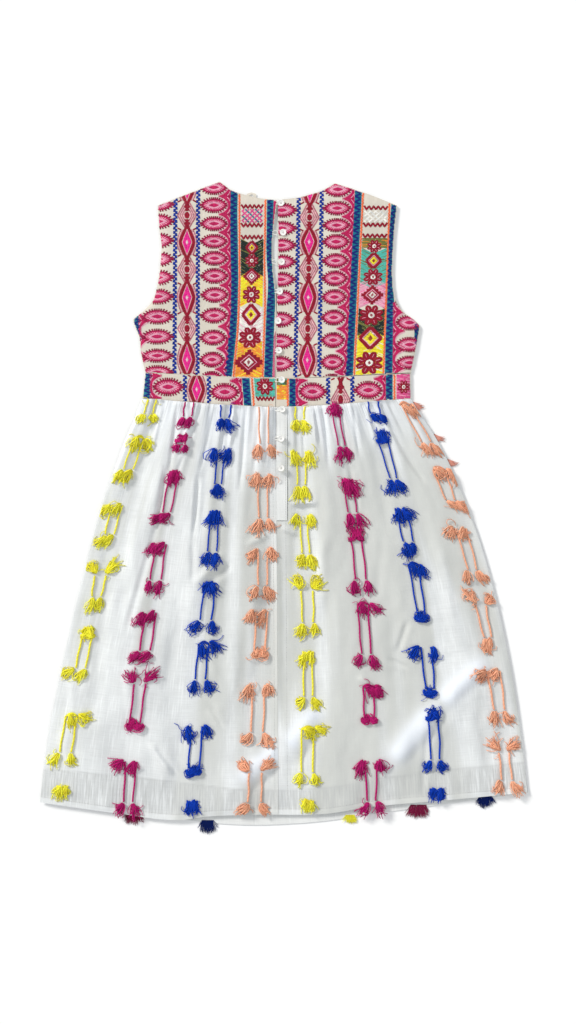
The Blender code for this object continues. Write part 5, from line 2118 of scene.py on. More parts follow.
@dataclass
class Skirt:
    """The gathered skirt: two back halves, the front, the lining and the button stand."""

    cell: float = 3.0
    hem_seam: float = 8.6
    stitch: float = 2.4
    long_stitch: float = 2.6
    off_lining: float = 0.9
    lining_corners = ((-202.0, 150.0), (178.0, 150.0), (358.0, -390.0), (-358.0, -401.0))
    left_creases = (
        Crease(-163, 156, -178, 40, 3.4, -1.5), Crease(-181, 60, -199, -46, 4.2, -1.9),
        Crease(-199, -40, -246, -205, 5.5, -1.5), Crease(-105, 156, -131, 48, 3.0, -0.9),
        Crease(-131, 48, -139, -52, 3.6, -1.9), Crease(-139, -52, -141, -118, 4.5, -1.3),
        Crease(-58, 151, -69, 22, 3.2, -1.7), Crease(-36, 151, -48, 48, 3.4, -1.4),
        Crease(-196, 160, -222, 60, 4.0, -1.3), Crease(-185, 160, -205, 85, 3.0, 1.4),
        Crease(-145, 158, -156, 70, 3.0, 1.3), Crease(-128, 156, -147, 92, 3.0, -1.2),
        Crease(-88, 154, -99, 78, 2.8, -1.3), Crease(-76, 152, -84, 88, 2.6, 1.2),
        Crease(-26, 150, -30, 60, 2.8, -1.1), Crease(-148, 96, -172, 32, 3.0, -1.1),
        Crease(-83, -85, -130, -132, 6.5, -1.4), Crease(-96, -72, -140, -120, 6.0, 1.5),
        Crease(-112, -305, -92, -338, 4.6, -1.4), Crease(-206, -363, -171, -410, 5.0, 1.5),
        Crease(-196, -368, -163, -412, 4.2, -1.3), Crease(-69, -419, 0, -362, 14.0, 2.5),
        Crease(-52, -436, 10, -385, 8.0, -0.8), Crease(-268, -120, -290, -260, 9.0, -1.0),
        Crease(-320, -250, -340, -400, 8.0, 1.1), Crease(-240, -250, -232, -330, 8.0, 1.0),
        Crease(-168, -190, -186, -290, 9.0, -0.9), Crease(-44, -120, -52, -260, 8.0, 0.9),
        Crease(-118, -190, -104, -270, 8.0, 0.8), Crease(-24, -40, -60, -58, 5.0, 1.1),
    )
    right_creases = (
        Crease(60, 156, 69, 58, 3.2, -1.6), Crease(85, 156, 101, 60, 3.2, -1.7),
        Crease(101, 60, 114, -5, 3.6, -1.6), Crease(106, 156, 116, 70, 2.8, -1.2),
        Crease(145, 158, 184, 88, 3.4, -1.6), Crease(184, 88, 219, 36, 4.4, -1.6),
        Crease(28, 153, 32, 60, 3.0, -1.4), Crease(44, 155, 50, 92, 2.6, 1.3),
        Crease(72, 156, 84, 100, 2.8, 1.2), Crease(125, 158, 142, 92, 2.8, 1.2),
        Crease(160, 160, 186, 110, 2.8, -1.2), Crease(176, 162, 205, 96, 3.4, 1.4),
        Crease(14, 152, 15, 84, 2.6, 1.0), Crease(10, 8, 53, 7, 5.0, 1.7),
        Crease(8, 1, 50, 0, 4.5, -1.3), Crease(-4, -28, 22, -42, 4.5, 1.5),
        Crease(188, -176, 175, -222, 4.4, -1.6), Crease(115, -260, 131, -272, 4.6, 1.2),
        Crease(163, -232, 190, -246, 4.2, -1.2), Crease(219, -347, 211, -448, 5.0, -1.5),
        Crease(4, -366, 60, -305, 14.0, 2.6), Crease(20, -392, 74, -322, 8.0, -0.8),
        Crease(163, -390, 240, -300, 15.0, 2.6), Crease(240, -300, 314, -228, 15.0, 2.7),
        Crease(184, -398, 262, -302, 9.0, -0.8), Crease(262, -302, 326, -244, 9.0, -0.8),
        Crease(240, -60, 262, -200, 9.0, 1.0), Crease(150, -40, 140, -150, 9.0, -0.9),
        Crease(60, -40, 58, -170, 8.0, 0.9), Crease(300, -300, 318, -420, 9.0, -1.0),
    )

    def __post_init__(self) -> None:
        """Describe the panels."""
        low = PanelForm("skirt_lining", self.lining_corners).sides[2]
        order = np.argsort(low[:, 0])
        hem = (low[order, 0], low[order, 1])
        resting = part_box("skirt_lining")[1].z / MM + self.off_lining
        self.left = SkirtPanel(
            "skirt_left_cloth", "skirt_back_left", "skirt_cotton", COTTON,
            ((-218.7, 167.6), (-12.6, 155.6), (-8.6, -471.0), (-375.3, -452.3)),
            self.cell, (0.366, 0.640), "gathered", ("skirt_lining_cloth", "skirt_front_cloth"),
            soften=10, smooth=3, cut_area=0.190, creases=self.left_creases, phase=0.4,
            lining_hem=hem, resting_level=resting,
        )
        self.right = SkirtPanel(
            "skirt_right_cloth", "skirt_back_right", "skirt_cotton", COTTON,
            ((-12.0, 155.6), (194.8, 167.6), (375.6, -437.4), (-8.0, -471.0)),
            self.cell, (0.384, 0.640), "gathered", ("skirt_lining_cloth", "skirt_front_cloth"),
            soften=10, smooth=3, cut_area=0.195, creases=self.right_creases, phase=2.9,
            lining_hem=hem, resting_level=resting, flat_under="skirt_button_stand",
        )
        self.front = ClothPanel(
            "skirt_front_cloth", "skirt_front", "skirt_cotton", COTTON_PLAIN,
            ((-218.7, 167.6), (194.8, 167.6), (375.6, -438.0), (-375.3, -450.8)),
            10.0, (0.750, 0.650), cut_area=0.380, thickness=0.7, soften=6,
        )
        self.lining = ClothPanel(
            "skirt_lining_cloth", "skirt_lining", "lining_cotton", LINING, self.lining_corners,
            11.0, (0.720, 0.580), cut_area=0.330, thickness=0.5, rests_on=("skirt_front_cloth",),
            soften=6,
        )
        self.stand = ClothPanel(
            "button_stand_cloth", "skirt_button_stand", "skirt_cotton", COTTON_PLAIN,
            box_corners("skirt_button_stand"), 2.4, (0.017, 0.176), thickness=0.5,
            rests_on=("skirt_right_cloth",),
        )

    def build(self) -> None:
        """Make the cloth and its visible sewing."""
        for panel in (self.front, self.lining, self.left, self.right, self.stand):
            panel.build()
        self.sewing()

    def sewing(self) -> None:
        """Sew the hems, the centre seam and the button stand's edges."""
        ground = Ground([self.left.shell, self.right.shell, self.stand.shell], 2.2)
        work = Stitching("skirt_sewing", ground, 31, 0.6)
        # The stitches are real; their grey thread is painted shade along the hems and seams.
        for panel in (self.left, self.right):
            hem = evenly(panel.form.sides[2], 900)
            self.running(work, hem[:, 0], hem[:, 1] + self.hem_seam, Floss.SHADE, self.stitch)
        for x, top, low in ((-17.5, 150.0, -462.0), (1.6, 150.0, -462.0), (4.6, 152.0, -16.0)):
            y = np.linspace(top, low, 700)
            self.running(work, x + 3.8 * (top - y) / 620.0, y, Floss.SHADE, self.long_stitch)
        work.build("skirt_cotton")

    @staticmethod
    def running(work: Stitching, x: Array, y: Array, floss: Floss, length: float) -> None:
        """Sew a line of small even stitches along a path.

        Args:
            work: The skirt's stitching.
            x: Places across the dress.
            y: Places along it.
            floss: The thread.
            length: From one stitch to the next.
        """
        line = np.stack((x, y), axis=1)
        total = np.linalg.norm(np.diff(line, axis=0), axis=1).sum()
        line = evenly(line, max(3, int(total / length)))
        motif = Motif()
        for (x0, y0), (x1, y1) in zip(line, line[1:]):
            motif.line(floss, x0, y0, x0 + 0.62 * (x1 - x0), y0 + 0.62 * (y1 - y0), 0.55, 0.28)
        work.sew(motif, jitter=0.05)


# Yarn ladders


class Strands:
    """Strands of yarn that are gathered into one mesh; each is a thin closed tube."""

    sides: int = 3
    long_from: int = 12
    long_sides: int = 5

    def __init__(self) -> None:
        """Start with no strands."""
        self.batches: list[tuple[Array, Array, Array]] = []

    def add(self, paths: Array, radii: Array, tones: Array) -> None:
        """Add strands of the same number of points, in millimetres."""
        self.batches.append((paths, radii, tones))

    @staticmethod
    def _tube(paths: Array, radii: Array, sides: int) -> tuple[Array, Array, Array]:
        """Rings of points round each strand, the faces between them and the faces at the ends.

        Args:
            paths: Points of each strand.
            radii: Radius at each point.
            sides: Points in a ring.

        Returns:
            The points, the side faces and the end faces.
        """
        way = np.gradient(paths, axis=1)
        way /= np.maximum(np.linalg.norm(way, axis=2, keepdims=True), 1e-9)
        up = np.zeros_like(way)
        up[..., 2] = 1.0
        side = np.cross(way, up)
        size = np.linalg.norm(side, axis=2, keepdims=True)
        side = np.where(size > 0.05, side / np.maximum(size, 1e-9), np.array([1.0, 0.0, 0.0]))
        over = np.cross(side, way)
        turns = np.arange(sides) * 2 * math.pi / sides
        ring = (
            side[:, :, None, :] * np.cos(turns)[None, None, :, None]
            + over[:, :, None, :] * np.sin(turns)[None, None, :, None]
        )
        points = paths[:, :, None, :] + ring * radii[:, :, None, None]
        count, steps = paths.shape[:2]
        number = np.arange(count * steps * sides).reshape(count, steps, sides)
        nxt = np.roll(number, -1, axis=2)
        quads = np.stack((number[:, :-1], nxt[:, :-1], nxt[:, 1:], number[:, 1:]), axis=-1)
        ends = np.vstack((number[:, 0, ::-1], number[:, -1]))
        return points.reshape(-1, 3), quads.reshape(-1, 4), ends

    def build(self, name: str, finish: YarnFinish, slot: str, node: str = "") -> None:
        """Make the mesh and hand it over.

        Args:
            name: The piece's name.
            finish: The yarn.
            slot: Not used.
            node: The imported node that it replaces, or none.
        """
        points, quads, tones, caps, base = [], [], [], [], 0
        for paths, radii, tone in self.batches:
            steps = paths.shape[1]
            sides = self.sides if steps < self.long_from else self.long_sides
            rings, faces, ends = self._tube(paths, radii, sides)
            caps += (ends + base).tolist()
            points.append(rings)
            quads.append(faces + base)
            tones.append(np.repeat(tone, steps * sides))
            base += len(rings)
        mesh = bpy.data.meshes.new(name)
        everything = np.vstack(points) * MM
        mesh.from_pydata(everything.tolist(), [], np.vstack(quads).tolist() + caps)
        mesh.materials.append(finish_of(finish))
        mark(mesh, "tone", np.concatenate(tones))
        mesh.update()
        shape = bmesh.new()
        shape.from_mesh(mesh)
        bmesh.ops.recalc_face_normals(shape, faces=shape.faces)
        shape.to_mesh(mesh)
        shape.free()
        made = link(name, mesh)
        only(made)
        bpy.ops.object.shade_smooth()
        hand_over(made, node)


@dataclass(frozen=True)
class TuftWay:
    """How a pair of tufts lies.

    It has the headings, from down the dress, at which they leave their rails and end, how far
    below the motif's top they leave them, and whether both turn to one side of the dress.
    """

    first: float
    last: float
    start: float = 0.0
    one_side: bool = False

    def heading(self, hand: float) -> Pair:
        """The first and the last heading of the tuft on one hand."""
        side = 1.0 if self.one_side else hand
        return self.first * side, self.last * side


class UpperTufts(Enum):
    """The ways of a motif's upper tufts: out, in, left, right, up, and curled outwards."""

    O = TuftWay(1.15, 0.0, 4.0)
    I = TuftWay(-1.1, 0.05, 3.0)
    L = TuftWay(-1.5, -0.4, 4.0, True)
    R = TuftWay(1.6, 0.55, 4.0, True)
    U = TuftWay(2.85, 2.6, 21.0)
    K = TuftWay(0.6, -2.6, 7.0)


class LowerTufts(Enum):
    """The ways of a motif's lower tufts: out, in, left, right, and curled inwards."""

    O = TuftWay(0.3, 0.35)
    I = TuftWay(-0.25, 0.05)
    L = TuftWay(-0.5, -0.8, one_side=True)
    R = TuftWay(0.5, 0.8, one_side=True)
    K = TuftWay(0.5, -2.4)


@dataclass
class Ladder:
    """A column of yarn ladders: its shares of the skirt's width, and its motifs.

    A motif has its top and bottom in millimetres below the waist, and the ways in which its
    upper and lower tufts lie, as names in UpperTufts and LowerTufts; "-" stands for no tuft.
    """

    name: str
    yarn: YarnColour
    waist: float
    across: float
    motifs: tuple[tuple[float, float, str], ...]


LADDERS = (
    Ladder("yellow_left", YarnColour.YELLOW, 0.041, 0.043, (
        (0, 31, "-O"), (52, 125, "RL"), (154, 225, "LL"), (245, 320, "UI"), (348, 430, "KL"),
        (477, 559, "RO"), (585, 615, "I-"))),
    Ladder("magenta_left", YarnColour.MAGENTA, 0.181, 0.181, (
        (0, 39, "-I"), (49, 76, "KI"), (102, 191, "IL"), (214, 294, "LI"), (319, 403, "LL"),
        (411, 514, "UK"), (547, 636, "LO"))),
    Ladder("blue_left", YarnColour.BLUE, 0.313, 0.312, (
        (0, 43, "-I"), (68, 148, "OI"), (163, 251, "II"), (273, 356, "IO"), (367, 447, "RO"),
        (493, 584, "OK"), (608, 640, "I-"))),
    Ladder("coral_left", YarnColour.CORAL, 0.452, 0.441, (
        (0, 86, "-O"), (105, 199, "OO"), (220, 303, "OO"), (317, 405, "LK"), (430, 528, "OO"),
        (547, 636, "UO"))),
    Ladder("yellow_right", YarnColour.YELLOW, 0.588, 0.549, (
        (0, 46, "-I"), (71, 149, "OI"), (169, 254, "OI"), (268, 360, "UO"), (379, 473, "IO"),
        (496, 590, "RO"), (608, 632, "I-"))),
    Ladder("magenta_right", YarnColour.MAGENTA, 0.711, 0.681, (
        (0, 89, "II"), (114, 191, "II"), (200, 294, "KO"), (306, 408, "RO"), (433, 505, "RK"),
        (545, 634, "OO"))),
    Ladder("blue_right", YarnColour.BLUE, 0.853, 0.815, (
        (0, 31, "-R"), (49, 139, "KO"), (159, 236, "II"), (246, 347, "RK"), (371, 462, "OK"),
        (474, 570, "KO"), (590, 614, "I-"))),
    Ladder("coral_right", YarnColour.CORAL, 0.964, 0.960, (
        (0, 83, "RI"), (99, 172, "RR"), (189, 279, "LO"), (291, 383, "UI"), (408, 494, "LO"),
        (517, 602, "UO"))),
)


@dataclass
class YarnWork:
    """Lays the rails and clipped tufts of the ladders on the skirt."""

    skirt: Skirt
    waist_level: float = 161.7
    rail_half: float = 7.0
    strands: int = 32
    strand: float = 0.72
    fine_strand: float = 0.4
    tuft_long: float = 20.0
    turn_in: float = 45.0
    grown_at: float = 330.0
    ply_turn: float = 6.5
    first_seed: int = 70

    def __post_init__(self) -> None:
        """Read the skirt's sides and the ground the yarn lies on, and take up the first ladder."""
        left = self.skirt.left.form.sides[3]
        right = self.skirt.right.form.sides[1]
        self.left_side = left[np.argsort(left[:, 1])]
        self.right_side = right[np.argsort(right[:, 1])]
        shells = [self.skirt.left.shell, self.skirt.right.shell, self.skirt.stand.shell]
        self.ground = Ground(shells, 3.0).filled()
        self.take_up(LADDERS[0], self.first_seed)

    def take_up(self, ladder: Ladder, seed: int) -> None:
        """Start on a ladder, with no strands yet."""
        self.ladder, self.yarn, self.random = ladder, Strands(), np.random.default_rng(seed)

    def place(self, down: Array, off: Array) -> Array:
        """Plan points of the ladder at distances below the waist and off its middle line.

        Args:
            down: Distances below the waist.
            off: Distances right of the middle line.

        Returns:
            The plan points.
        """
        down = np.asarray(down, float)
        y = self.waist_level - down
        ladder = self.ladder
        near = np.exp(-np.maximum(down, 0) / self.turn_in)
        share = ladder.across + (ladder.waist - ladder.across) * near
        left = np.interp(y, self.left_side[:, 1], self.left_side[:, 0])
        right = np.interp(y, self.right_side[:, 1], self.right_side[:, 0])
        return np.stack((left + share * (right - left) + off, y), axis=-1)

    def within(self, plan: Array) -> Array:
        """Keep points of tufts on the skirt, a little way inside its sides.

        Args:
            plan: Plan points.

        Returns:
            The points, none past the skirt's sides.
        """
        left = np.interp(plan[..., 1], self.left_side[:, 1], self.left_side[:, 0]) + 2.0
        right = np.interp(plan[..., 1], self.right_side[:, 1], self.right_side[:, 0]) - 2.0
        return np.stack((np.clip(plan[..., 0], left, right), plan[..., 1]), axis=-1)

    def build(self) -> None:
        """Make each ladder."""
        for index, ladder in enumerate(LADDERS):
            self.take_up(ladder, self.first_seed + index)
            for top, bottom, tufts in ladder.motifs:
                self.motif(float(top), float(bottom), tufts)
            slot, node = f"yarn_{ladder.yarn.name.lower()}", f"yarn_ladder_{ladder.name}"
            self.yarn.build(f"yarn_{ladder.name}", ladder.yarn.value, slot, node)

    def seam(self) -> float:
        """Distance below the waist level at which the ladder leaves the waistband.

        Returns:
            The distance.
        """
        x = self.place(np.array(4.0), np.array(0.0))[..., 0]
        line = np.vstack([self.skirt.left.form.sides[0], self.skirt.right.form.sides[0]])
        line = line[np.argsort(line[:, 0])]
        return self.waist_level - float(np.interp(x, line[:, 0], line[:, 1]))

    def motif(self, top: float, bottom: float, tufts: str) -> None:
        """Lay one motif: two rails, and a pair of tufts at each end that shows.

        Args:
            top: Its top, below the waist.
            bottom: Its bottom, likewise.
            tufts: Ways of its upper and lower tufts.
        """
        random = self.random
        upper = UpperTufts[tufts[0]].value if tufts[0] != "-" else None
        lower = LowerTufts[tufts[1]].value if tufts[1] != "-" else None
        hem = upper and not lower
        tuft = min(self.tuft_long, (0.68 if hem else 0.4) * (bottom - top))
        start = top + upper.start if upper else self.seam() + 0.6
        end = bottom - (tuft * 1.15 if lower else 0.0)
        if hem:
            end = start + 0.5 * tuft
        grown = min(1.0, top / self.grown_at)
        apart = self.rail_half * random.uniform(0.86, 1.12) * (1.0 + 0.24 * grown)
        closing = random.uniform(0.8, 1.05)
        for hand in (-1.0, 1.0):
            first = hand * apart + random.normal(0.0, 0.5)
            last = hand * apart * closing + random.normal(0.0, 0.5)
            self.rail(start, end, first, last)
            if upper:
                self.tuft(start - 1.0, first, tuft * 1.26, upper.heading(hand), 3.0)
            if lower:
                self.tuft(end, last, tuft * 1.18, lower.heading(hand), 1.6)
        if upper == UpperTufts.R.value:
            self.bridge(start, apart)
        self.stray((start, end if lower else start), tuft)

    def bridge(self, down: float, apart: float) -> None:
        """Lay strands that arch from one rail's top to the other's.

        Args:
            down: Top of the rails, below the waist.
            apart: Half the space between them.
        """
        random = self.random
        count, steps = 9, 9
        s = np.linspace(-1.0, 1.0, steps)[None, :]
        rise = random.uniform(2.0, 6.0, (count, 1))
        along = down - rise * (1 - s ** 2) + random.normal(0.0, 0.7, (count, 1)) * s
        plan = self.place(along, (apart + random.uniform(0, 1.5, (count, 1))) * s)
        level = self.ground.height(plan[..., 0], plan[..., 1])
        paths = np.dstack((plan, level + 1.0 + random.uniform(0.0, 1.8, (count, 1))))
        self.yarn.add(paths, np.full((count, steps), 0.55), random.uniform(0.0, 1.0, count))

    def rail(self, start: float, end: float, first: float, last: float) -> None:
        """Lay one twisted rail of three plies.

        Args:
            start: Its top, below the waist.
            end: Its bottom, likewise.
            first: How far right of the middle line its top is.
            last: How far right its bottom is.
        """
        random = self.random
        steps = max(14, round((end - start) / 2.0))
        s = np.linspace(0.0, 1.0, steps)
        down = start + (end - start) * s
        sway = random.uniform(-0.9, 0.9) * np.sin(math.pi * s) + 0.4 * np.sin(9 * s + first)
        plan = self.place(down, first + (last - first) * s + sway)
        level = self.ground.height(plan[:, 0], plan[:, 1])
        paths = []
        thick = 0.8 + 0.24 * min(1.0, start / self.grown_at)
        for ply in range(3):
            turn = down / self.ply_turn * 2 * math.pi + ply * 2 * math.pi / 3
            across, up = 0.82 * thick * np.cos(turn), 0.5 * thick * np.sin(turn)
            paths.append(np.column_stack((plan[:, 0] + across, plan[:, 1], level + 1.3 + up)))
        radii = np.full((3, steps), 0.9 * thick) * (1 + 0.08 * random.normal(size=(3, 1)))
        self.yarn.add(np.array(paths), radii, np.array((0.0, 0.3, 0.7)))

    def tuft(self, down: float, off: float, length: float, way: Pair, turning: float) -> None:
        """Lay one clump of strands: it leaves its rail at one heading, turns, hangs and curls.

        Args:
            down: Where it leaves its rail, below the waist.
            off: How far right of the middle line.
            length: About its length.
            way: Its first and last heading, from down the dress.
            turning: How soon it turns from one to the other.
        """
        random = self.random
        count, steps = self.strands, 8
        s = np.linspace(0.0, 1.0, steps)[None, :]
        first = way[0] + random.normal(0.0, 0.22) + random.normal(0.0, 0.2, (count, 1))
        last = way[1] + random.normal(0.0, 0.25) + random.normal(0.0, 0.34, (count, 1))
        turned = random.random((count, 1)) < 0.5
        heading = first + (last - first) * eased(s * turning)
        loop = random.choice((-1.0, 1.0), (count, 1)) * eased((s - 0.62) / 0.38) * 2.8
        heading = heading + np.where(turned, loop, 0.0)
        wild = random.random((count, 1)) < 0.03
        heading = heading + np.where(wild, random.normal(0.0, 2.0, (count, 1)) * s, 0.0)
        reach = length * random.uniform(0.62, 1.1, (count, 1)) * random.uniform(0.85, 1.15)
        step = reach / (steps - 1)
        spread = random.normal(0.0, 1.0, (count, 1)) * 2.6 * np.sin(math.pi * (0.1 + 0.7 * s))
        along = down + np.cumsum(np.cos(heading), axis=1) * step - spread * np.sin(heading)
        sideways = off + np.cumsum(np.sin(heading), axis=1) * step + spread * np.cos(heading)
        layer = random.uniform(0.0, 1.0, (count, 1))
        lift = 0.7 + (0.9 + 2.6 * layer) * np.sin(math.pi * np.clip(0.2 + 0.74 * s, 0, 1))
        plan = self.within(self.place(along, sideways))
        level = self.ground.height(plan[..., 0], plan[..., 1])
        paths = np.dstack((plan, level + np.maximum(lift, 0.55)))
        radii = np.full((count, steps), self.strand) * (1.0 - 0.2 * s ** 3)
        self.yarn.add(paths, radii, random.uniform(0.0, 1.0, count))

    def stray(self, ends: Pair, length: float) -> None:
        """Lay a few loose ends that curl away from the tufts.

        Args:
            ends: Where the upper and the lower tufts start, below the waist.
            length: Length of a tuft.
        """
        random = self.random
        count, steps = 3, 9
        s = np.linspace(0.0, 1.0, steps)[None, :]
        hand = np.sign(random.normal(size=(count, 1)))
        down = np.where(random.random((count, 1)) < 0.5, ends[0], ends[1] + 0.6 * length)
        reach = random.uniform(6.0, 13.0, (count, 1))
        bend = random.uniform(-3.0, 3.5, (count, 1))
        along = down + reach * 0.5 * np.sin(bend * s) + 0.2 * reach * s
        sideways = hand * (self.rail_half + reach * (1 - np.cos(1.4 * s)) * 0.9)
        plan = self.place(along, sideways)
        level = self.ground.height(plan[..., 0], plan[..., 1])
        paths = np.dstack((plan, level + 0.9 + 1.4 * np.sin(math.pi * s)))
        self.yarn.add(paths, np.full((count, steps), self.fine_strand), random.uniform(0.2, 0.9, count))


@dataclass
class EdgeTuft:
    """A tuft of the front that shows past the hem or the side, in its solid's place."""

    name: str
    colour: YarnColour
    seed: int
    steps: int = 8
    most: int = 150
    fewer: int = 84
    strand: float = 0.42
    first_seed: int = 90

    def build(self) -> None:
        """Fan the strands out from under the back, and let them curl."""
        low, high = (np.array(corner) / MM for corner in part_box(f"front_tuft_{self.name}"))
        random = np.random.default_rng(self.first_seed + self.seed)
        hem = self.name.startswith("hem")
        count = self.most if hem else self.fewer
        s = np.linspace(0.0, 1.0, self.steps)[None, :]
        place = random.beta(1.6, 1.6, (count, 1)) - 0.5
        fan = 0.9 * place + random.normal(0.0, 0.22, (count, 1))
        curl = random.normal(0.0, 1.3, (count, 1)) * s ** 2
        reach = random.uniform(0.5, 1.0, (count, 1)) * (1 - 1.3 * place ** 2)
        reach *= 0.9 + 0.1 * np.sin(19.0 * place + self.seed)
        lift = random.uniform(0.0, max(0.6, high[2] - 1.6), (count, 1))
        z = 1.0 + lift * np.sin(math.pi * np.clip(0.3 + 0.6 * s, 0, 1))
        if hem:
            wide, tall = high[0] - low[0], high[1] - low[1] + 4.0
            x = (low[0] + high[0]) / 2 + wide * 0.8 * place + fan * tall * 0.45 * s + curl
            y = high[1] + 4.0 - tall * reach * s
        else:
            wide, tall = high[0] - low[0] + 5.0, high[1] - low[1]
            y = (low[1] + high[1]) / 2 + 0.8 * tall * place * (1 - 0.45 * s) + curl - 2.5 * s
            x = low[0] - 3.0 + wide * reach * s * random.uniform(0.6, 1.0, (count, 1))
        paths = np.dstack(np.broadcast_arrays(x, y, np.maximum(z, 0.9)))
        radii = np.full((count, self.steps), self.strand) * (1 - 0.3 * s ** 3)
        yarn = Strands()
        yarn.add(paths, radii, random.uniform(0.0, 1.0, count))
        slot, node = f"yarn_{self.colour.name.lower()}", f"front_tuft_{self.name}"
        # The tufts take the painted-shade copy of their yarn.
        yarn.build(f"tuft_{self.name}", SHADED[self.colour], slot, node)


EDGE_TUFTS = (
    EdgeTuft("hem_magenta_left", YarnColour.MAGENTA, 0), EdgeTuft("hem_blue_left", YarnColour.BLUE, 1),
    EdgeTuft("hem_yellow", YarnColour.YELLOW, 2), EdgeTuft("hem_magenta_right", YarnColour.MAGENTA, 3),
    EdgeTuft("hem_blue_right", YarnColour.BLUE, 4), EdgeTuft("side_coral_top", YarnColour.CORAL, 5),
    EdgeTuft("side_coral_high", YarnColour.CORAL, 6), EdgeTuft("side_coral_low", YarnColour.CORAL, 7),
)


# Closure


@dataclass
class Closure:
    """The buttons with their thread, and the thread loops that hold them."""

    edge: Array
    radius: float = 5.0
    high: float = 2.3
    count: int = 10
    holes: int = 4
    hole_off: float = 1.15
    hole_radius: float = 0.55
    dish: float = 0.55
    rounding: float = 0.32
    drill_long: float = 6.0
    thread: float = 0.28
    loop: float = 0.6
    far: float = 9.0

    def button_mesh(self) -> Piece:
        """Turn a disc with a rounded rim, a dished middle and four holes.

        Returns:
            The button, at the origin.
        """
        bpy.ops.object.select_all(action="DESELECT")
        bpy.ops.mesh.primitive_cylinder_add(
            vertices=32, radius=self.radius * MM, depth=self.high * MM, location=(0, 0, 0)
        )
        disc = bpy.context.active_object
        bpy.ops.object.mode_set(mode="EDIT")
        shape = bmesh.from_edit_mesh(disc.data)
        for face in shape.faces:
            face.select = face.normal.z > 0.9
        bmesh.update_edit_mesh(disc.data)
        bpy.ops.mesh.inset(thickness=self.radius * 0.2 * MM)
        bpy.ops.mesh.inset(thickness=self.radius * 0.1 * MM)
        bpy.ops.transform.translate(value=(0, 0, -self.dish * MM))
        bpy.ops.object.mode_set(mode="OBJECT")
        off = self.hole_off * MM
        for k in range(self.holes):
            turn = math.pi / 4 + k * math.pi / 2
            bpy.ops.object.select_all(action="DESELECT")
            bpy.ops.mesh.primitive_cylinder_add(
                vertices=12, radius=self.hole_radius * MM, depth=self.drill_long * MM,
                location=(off * math.cos(turn), off * math.sin(turn), 0),
            )
            drill = bpy.context.active_object
            cut = disc.modifiers.new("hole", "BOOLEAN")
            cut.operation, cut.object, cut.solver = "DIFFERENCE", drill, "EXACT"
            only(disc)
            bpy.ops.object.modifier_apply(modifier="hole")
            bpy.data.objects.remove(drill)
        round_off = disc.modifiers.new("round", "BEVEL")
        round_off.width, round_off.segments = self.rounding * MM, 3
        round_off.limit_method, round_off.angle_limit = "ANGLE", math.radians(40)
        only(disc)
        bpy.ops.object.modifier_apply(modifier="round")
        bpy.ops.object.shade_smooth_by_angle(angle=math.radians(35))
        return disc

    def build(self) -> None:
        """Place a button on each packed one, with thread through it and a loop round it."""
        model = self.button_mesh()
        thread, loops = Strands(), Strands()
        random = np.random.default_rng(7)
        for k in range(1, self.count + 1):
            node = f"button_{k:02d}"
            low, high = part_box(node)
            middle = np.array((low + high) / 2) / MM
            copy = model.data.copy()
            one = link(f"white_{node}", copy)
            turn = random.uniform(0, math.pi)
            points = np.zeros(len(copy.vertices) * 3, np.float32)
            copy.vertices.foreach_get("co", points)
            points = points.reshape(-1, 3)
            c, s = math.cos(turn), math.sin(turn)
            turned = points @ np.array([[c, s, 0], [-s, c, 0], [0, 0, 1]])
            turned += np.array((middle[0], middle[1], low.z / MM + self.high / 2)) * MM
            copy.vertices.foreach_set("co", turned.astype(np.float32).ravel())
            copy.update()
            copy.materials.append(finish_of(ButtonFinish()))
            hand_over(one, node)
            self.sew_on(thread, middle, low.z / MM, turn)
            if k < self.count:
                self.hold(loops, middle, low.z / MM, random)
        bpy.data.objects.remove(model)
        finish = YarnFinish("thread_white", (0.78, 0.77, 0.73))
        thread.build("button_thread", finish, "skirt_cotton")
        loops.build("button_loops", finish, "skirt_cotton")

    def sew_on(self, thread: Strands, middle: Array, level: float, turn: float) -> None:
        """Cross two threads over the button through its holes.

        Args:
            thread: The strands so far.
            middle: The button's middle.
            level: Its underside.
            turn: How far it is turned.
        """
        for k in range(2):
            way = turn + math.pi / 4 + k * math.pi / 2
            s = np.linspace(-1, 1, 7)
            x = middle[0] + self.hole_off * np.cos(way) * s
            y = middle[1] + self.hole_off * np.sin(way) * s
            z = level + self.high - 0.5 + 0.35 * (1 - s ** 4) - 1.0 * (np.abs(s) > 0.95)
            radii = np.full((1, len(s)), self.thread)
            thread.add(np.stack((x, y, z), axis=1)[None], radii, np.array([0.6]))

    def hold(self, loops: Strands, middle: Array, level: float, random: np.random.Generator) -> None:
        """Lay a thread loop: free beside the button where the opening gapes, or else round its foot.

        Args:
            loops: The strands so far.
            middle: The button's middle.
            level: Its underside.
            random: The random draws.
        """
        s = np.linspace(0.0, 1.0, 11)
        t = math.pi * (1.5 + s)
        edge = float(np.interp(middle[1], self.edge[:, 1], self.edge[:, 0]))
        start = edge - 1.2
        if middle[0] - edge > self.far:
            reach, centre, z = 3.3, edge + 3.4, np.full(len(s) + 2, level - 0.2)
        else:
            reach, centre, z = self.radius * 0.86, middle[0], np.full(len(s) + 2, level + 0.7)
        x = np.concatenate(([start], centre + reach * np.cos(t), [start]))
        y = middle[1] + np.concatenate(([-1.6], reach * 0.95 * np.sin(t), [1.6]))
        y = y + random.uniform(-0.5, 0.5)
        radii = np.full((1, len(x)), self.loop)
        loops.add(np.stack((x, y, z), axis=1)[None], radii, np.array([0.7]))


# Camera, floor and light


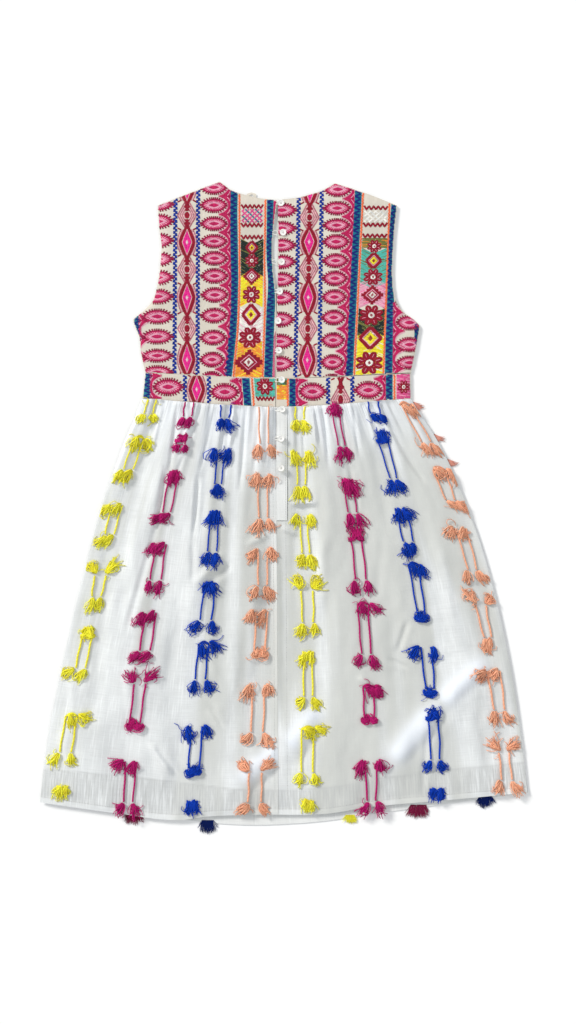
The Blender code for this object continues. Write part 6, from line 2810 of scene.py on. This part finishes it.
@dataclass
class Studio:
    """A pale floor, soft light from above left and a camera that looks straight down."""

    camera_high: float = 2.2
    picture_high: float = 1.577
    centre: Pair = (0.0062, -0.0062)
    sensor: float = 36.0
    floor_wide: float = 40.0
    floor_level: float = -0.0004
    light: Triple = (1.0, 0.975, 0.93)
    sky: Triple = (0.92, 0.96, 1.0)
    sky_strength: float = 0.58

    def build(self) -> None:
        """Set up the floor, the lights and the camera."""
        self.floor()
        self.lights()
        lens = bpy.data.cameras.new("camera")
        lens.sensor_width = self.sensor
        lens.lens = self.sensor * self.camera_high / self.picture_high
        lens.clip_end = 50.0
        camera = bpy.data.objects.new("camera", lens)
        camera.location = (*self.centre, self.camera_high)
        bpy.context.scene.collection.objects.link(camera)
        bpy.context.scene.camera = camera

    def floor(self) -> None:
        """Lay a large pale floor just under the dress."""
        bpy.ops.object.select_all(action="DESELECT")
        bpy.ops.mesh.primitive_plane_add(size=self.floor_wide, location=(0, 0, self.floor_level))
        floor = bpy.context.active_object
        floor.name = "floor"
        shader = Shader("floor_pale", (0.9, 0.9, 0.9), 0.9)
        grain = shader.noise(shader.place(), 30.0, 2.0)
        shader.colour(shader.blend(grain, (0.925, 0.925, 0.925, 1.0), (0.94, 0.94, 0.94, 1.0)))
        floor.data.materials.append(shader.material)

    def lights(self) -> None:
        """Light softly from the upper left, with a wide fill and a bright world."""
        for name, kind, place, size, power in (
            ("key", "SUN", (-1.9, 1.6, 1.25), math.radians(14), 2.95),
            ("fill", "SUN", (1.8, -0.9, 2.8), math.radians(60), 0.55),
        ):
            lamp = bpy.data.lights.new(name, kind)
            lamp.angle, lamp.energy = size, power
            lamp.color = self.light
            made = bpy.data.objects.new(name, lamp)
            made.location = place
            made.rotation_euler = (-Vector(place)).to_track_quat("-Z", "Y").to_euler()
            bpy.context.scene.collection.objects.link(made)
        world = bpy.data.worlds.new("world")
        world.use_nodes = True
        background = world.node_tree.nodes["Background"]
        background.inputs["Color"].default_value = (*self.sky, 1.0)
        background.inputs["Strength"].default_value = self.sky_strength
        bpy.context.scene.world = world
        bpy.context.scene.view_settings.view_transform = "Standard"


def main() -> None:
    """Build the dress from its cloth to its yarn, then the studio."""
    logging.basicConfig(level=logging.INFO, format="%(message)s")
    Studio().build()
    bodice = Bodice()
    bodice.build()
    Waistband().build()
    skirt = Skirt()
    skirt.build()
    YarnWork(skirt).build()
    for tuft in EDGE_TUFTS:
        tuft.build()
    edge = bodice.left.form.sides[1]
    Closure(edge=edge[np.argsort(edge[:, 1])]).build()


if __name__ == "__main__":
    main()
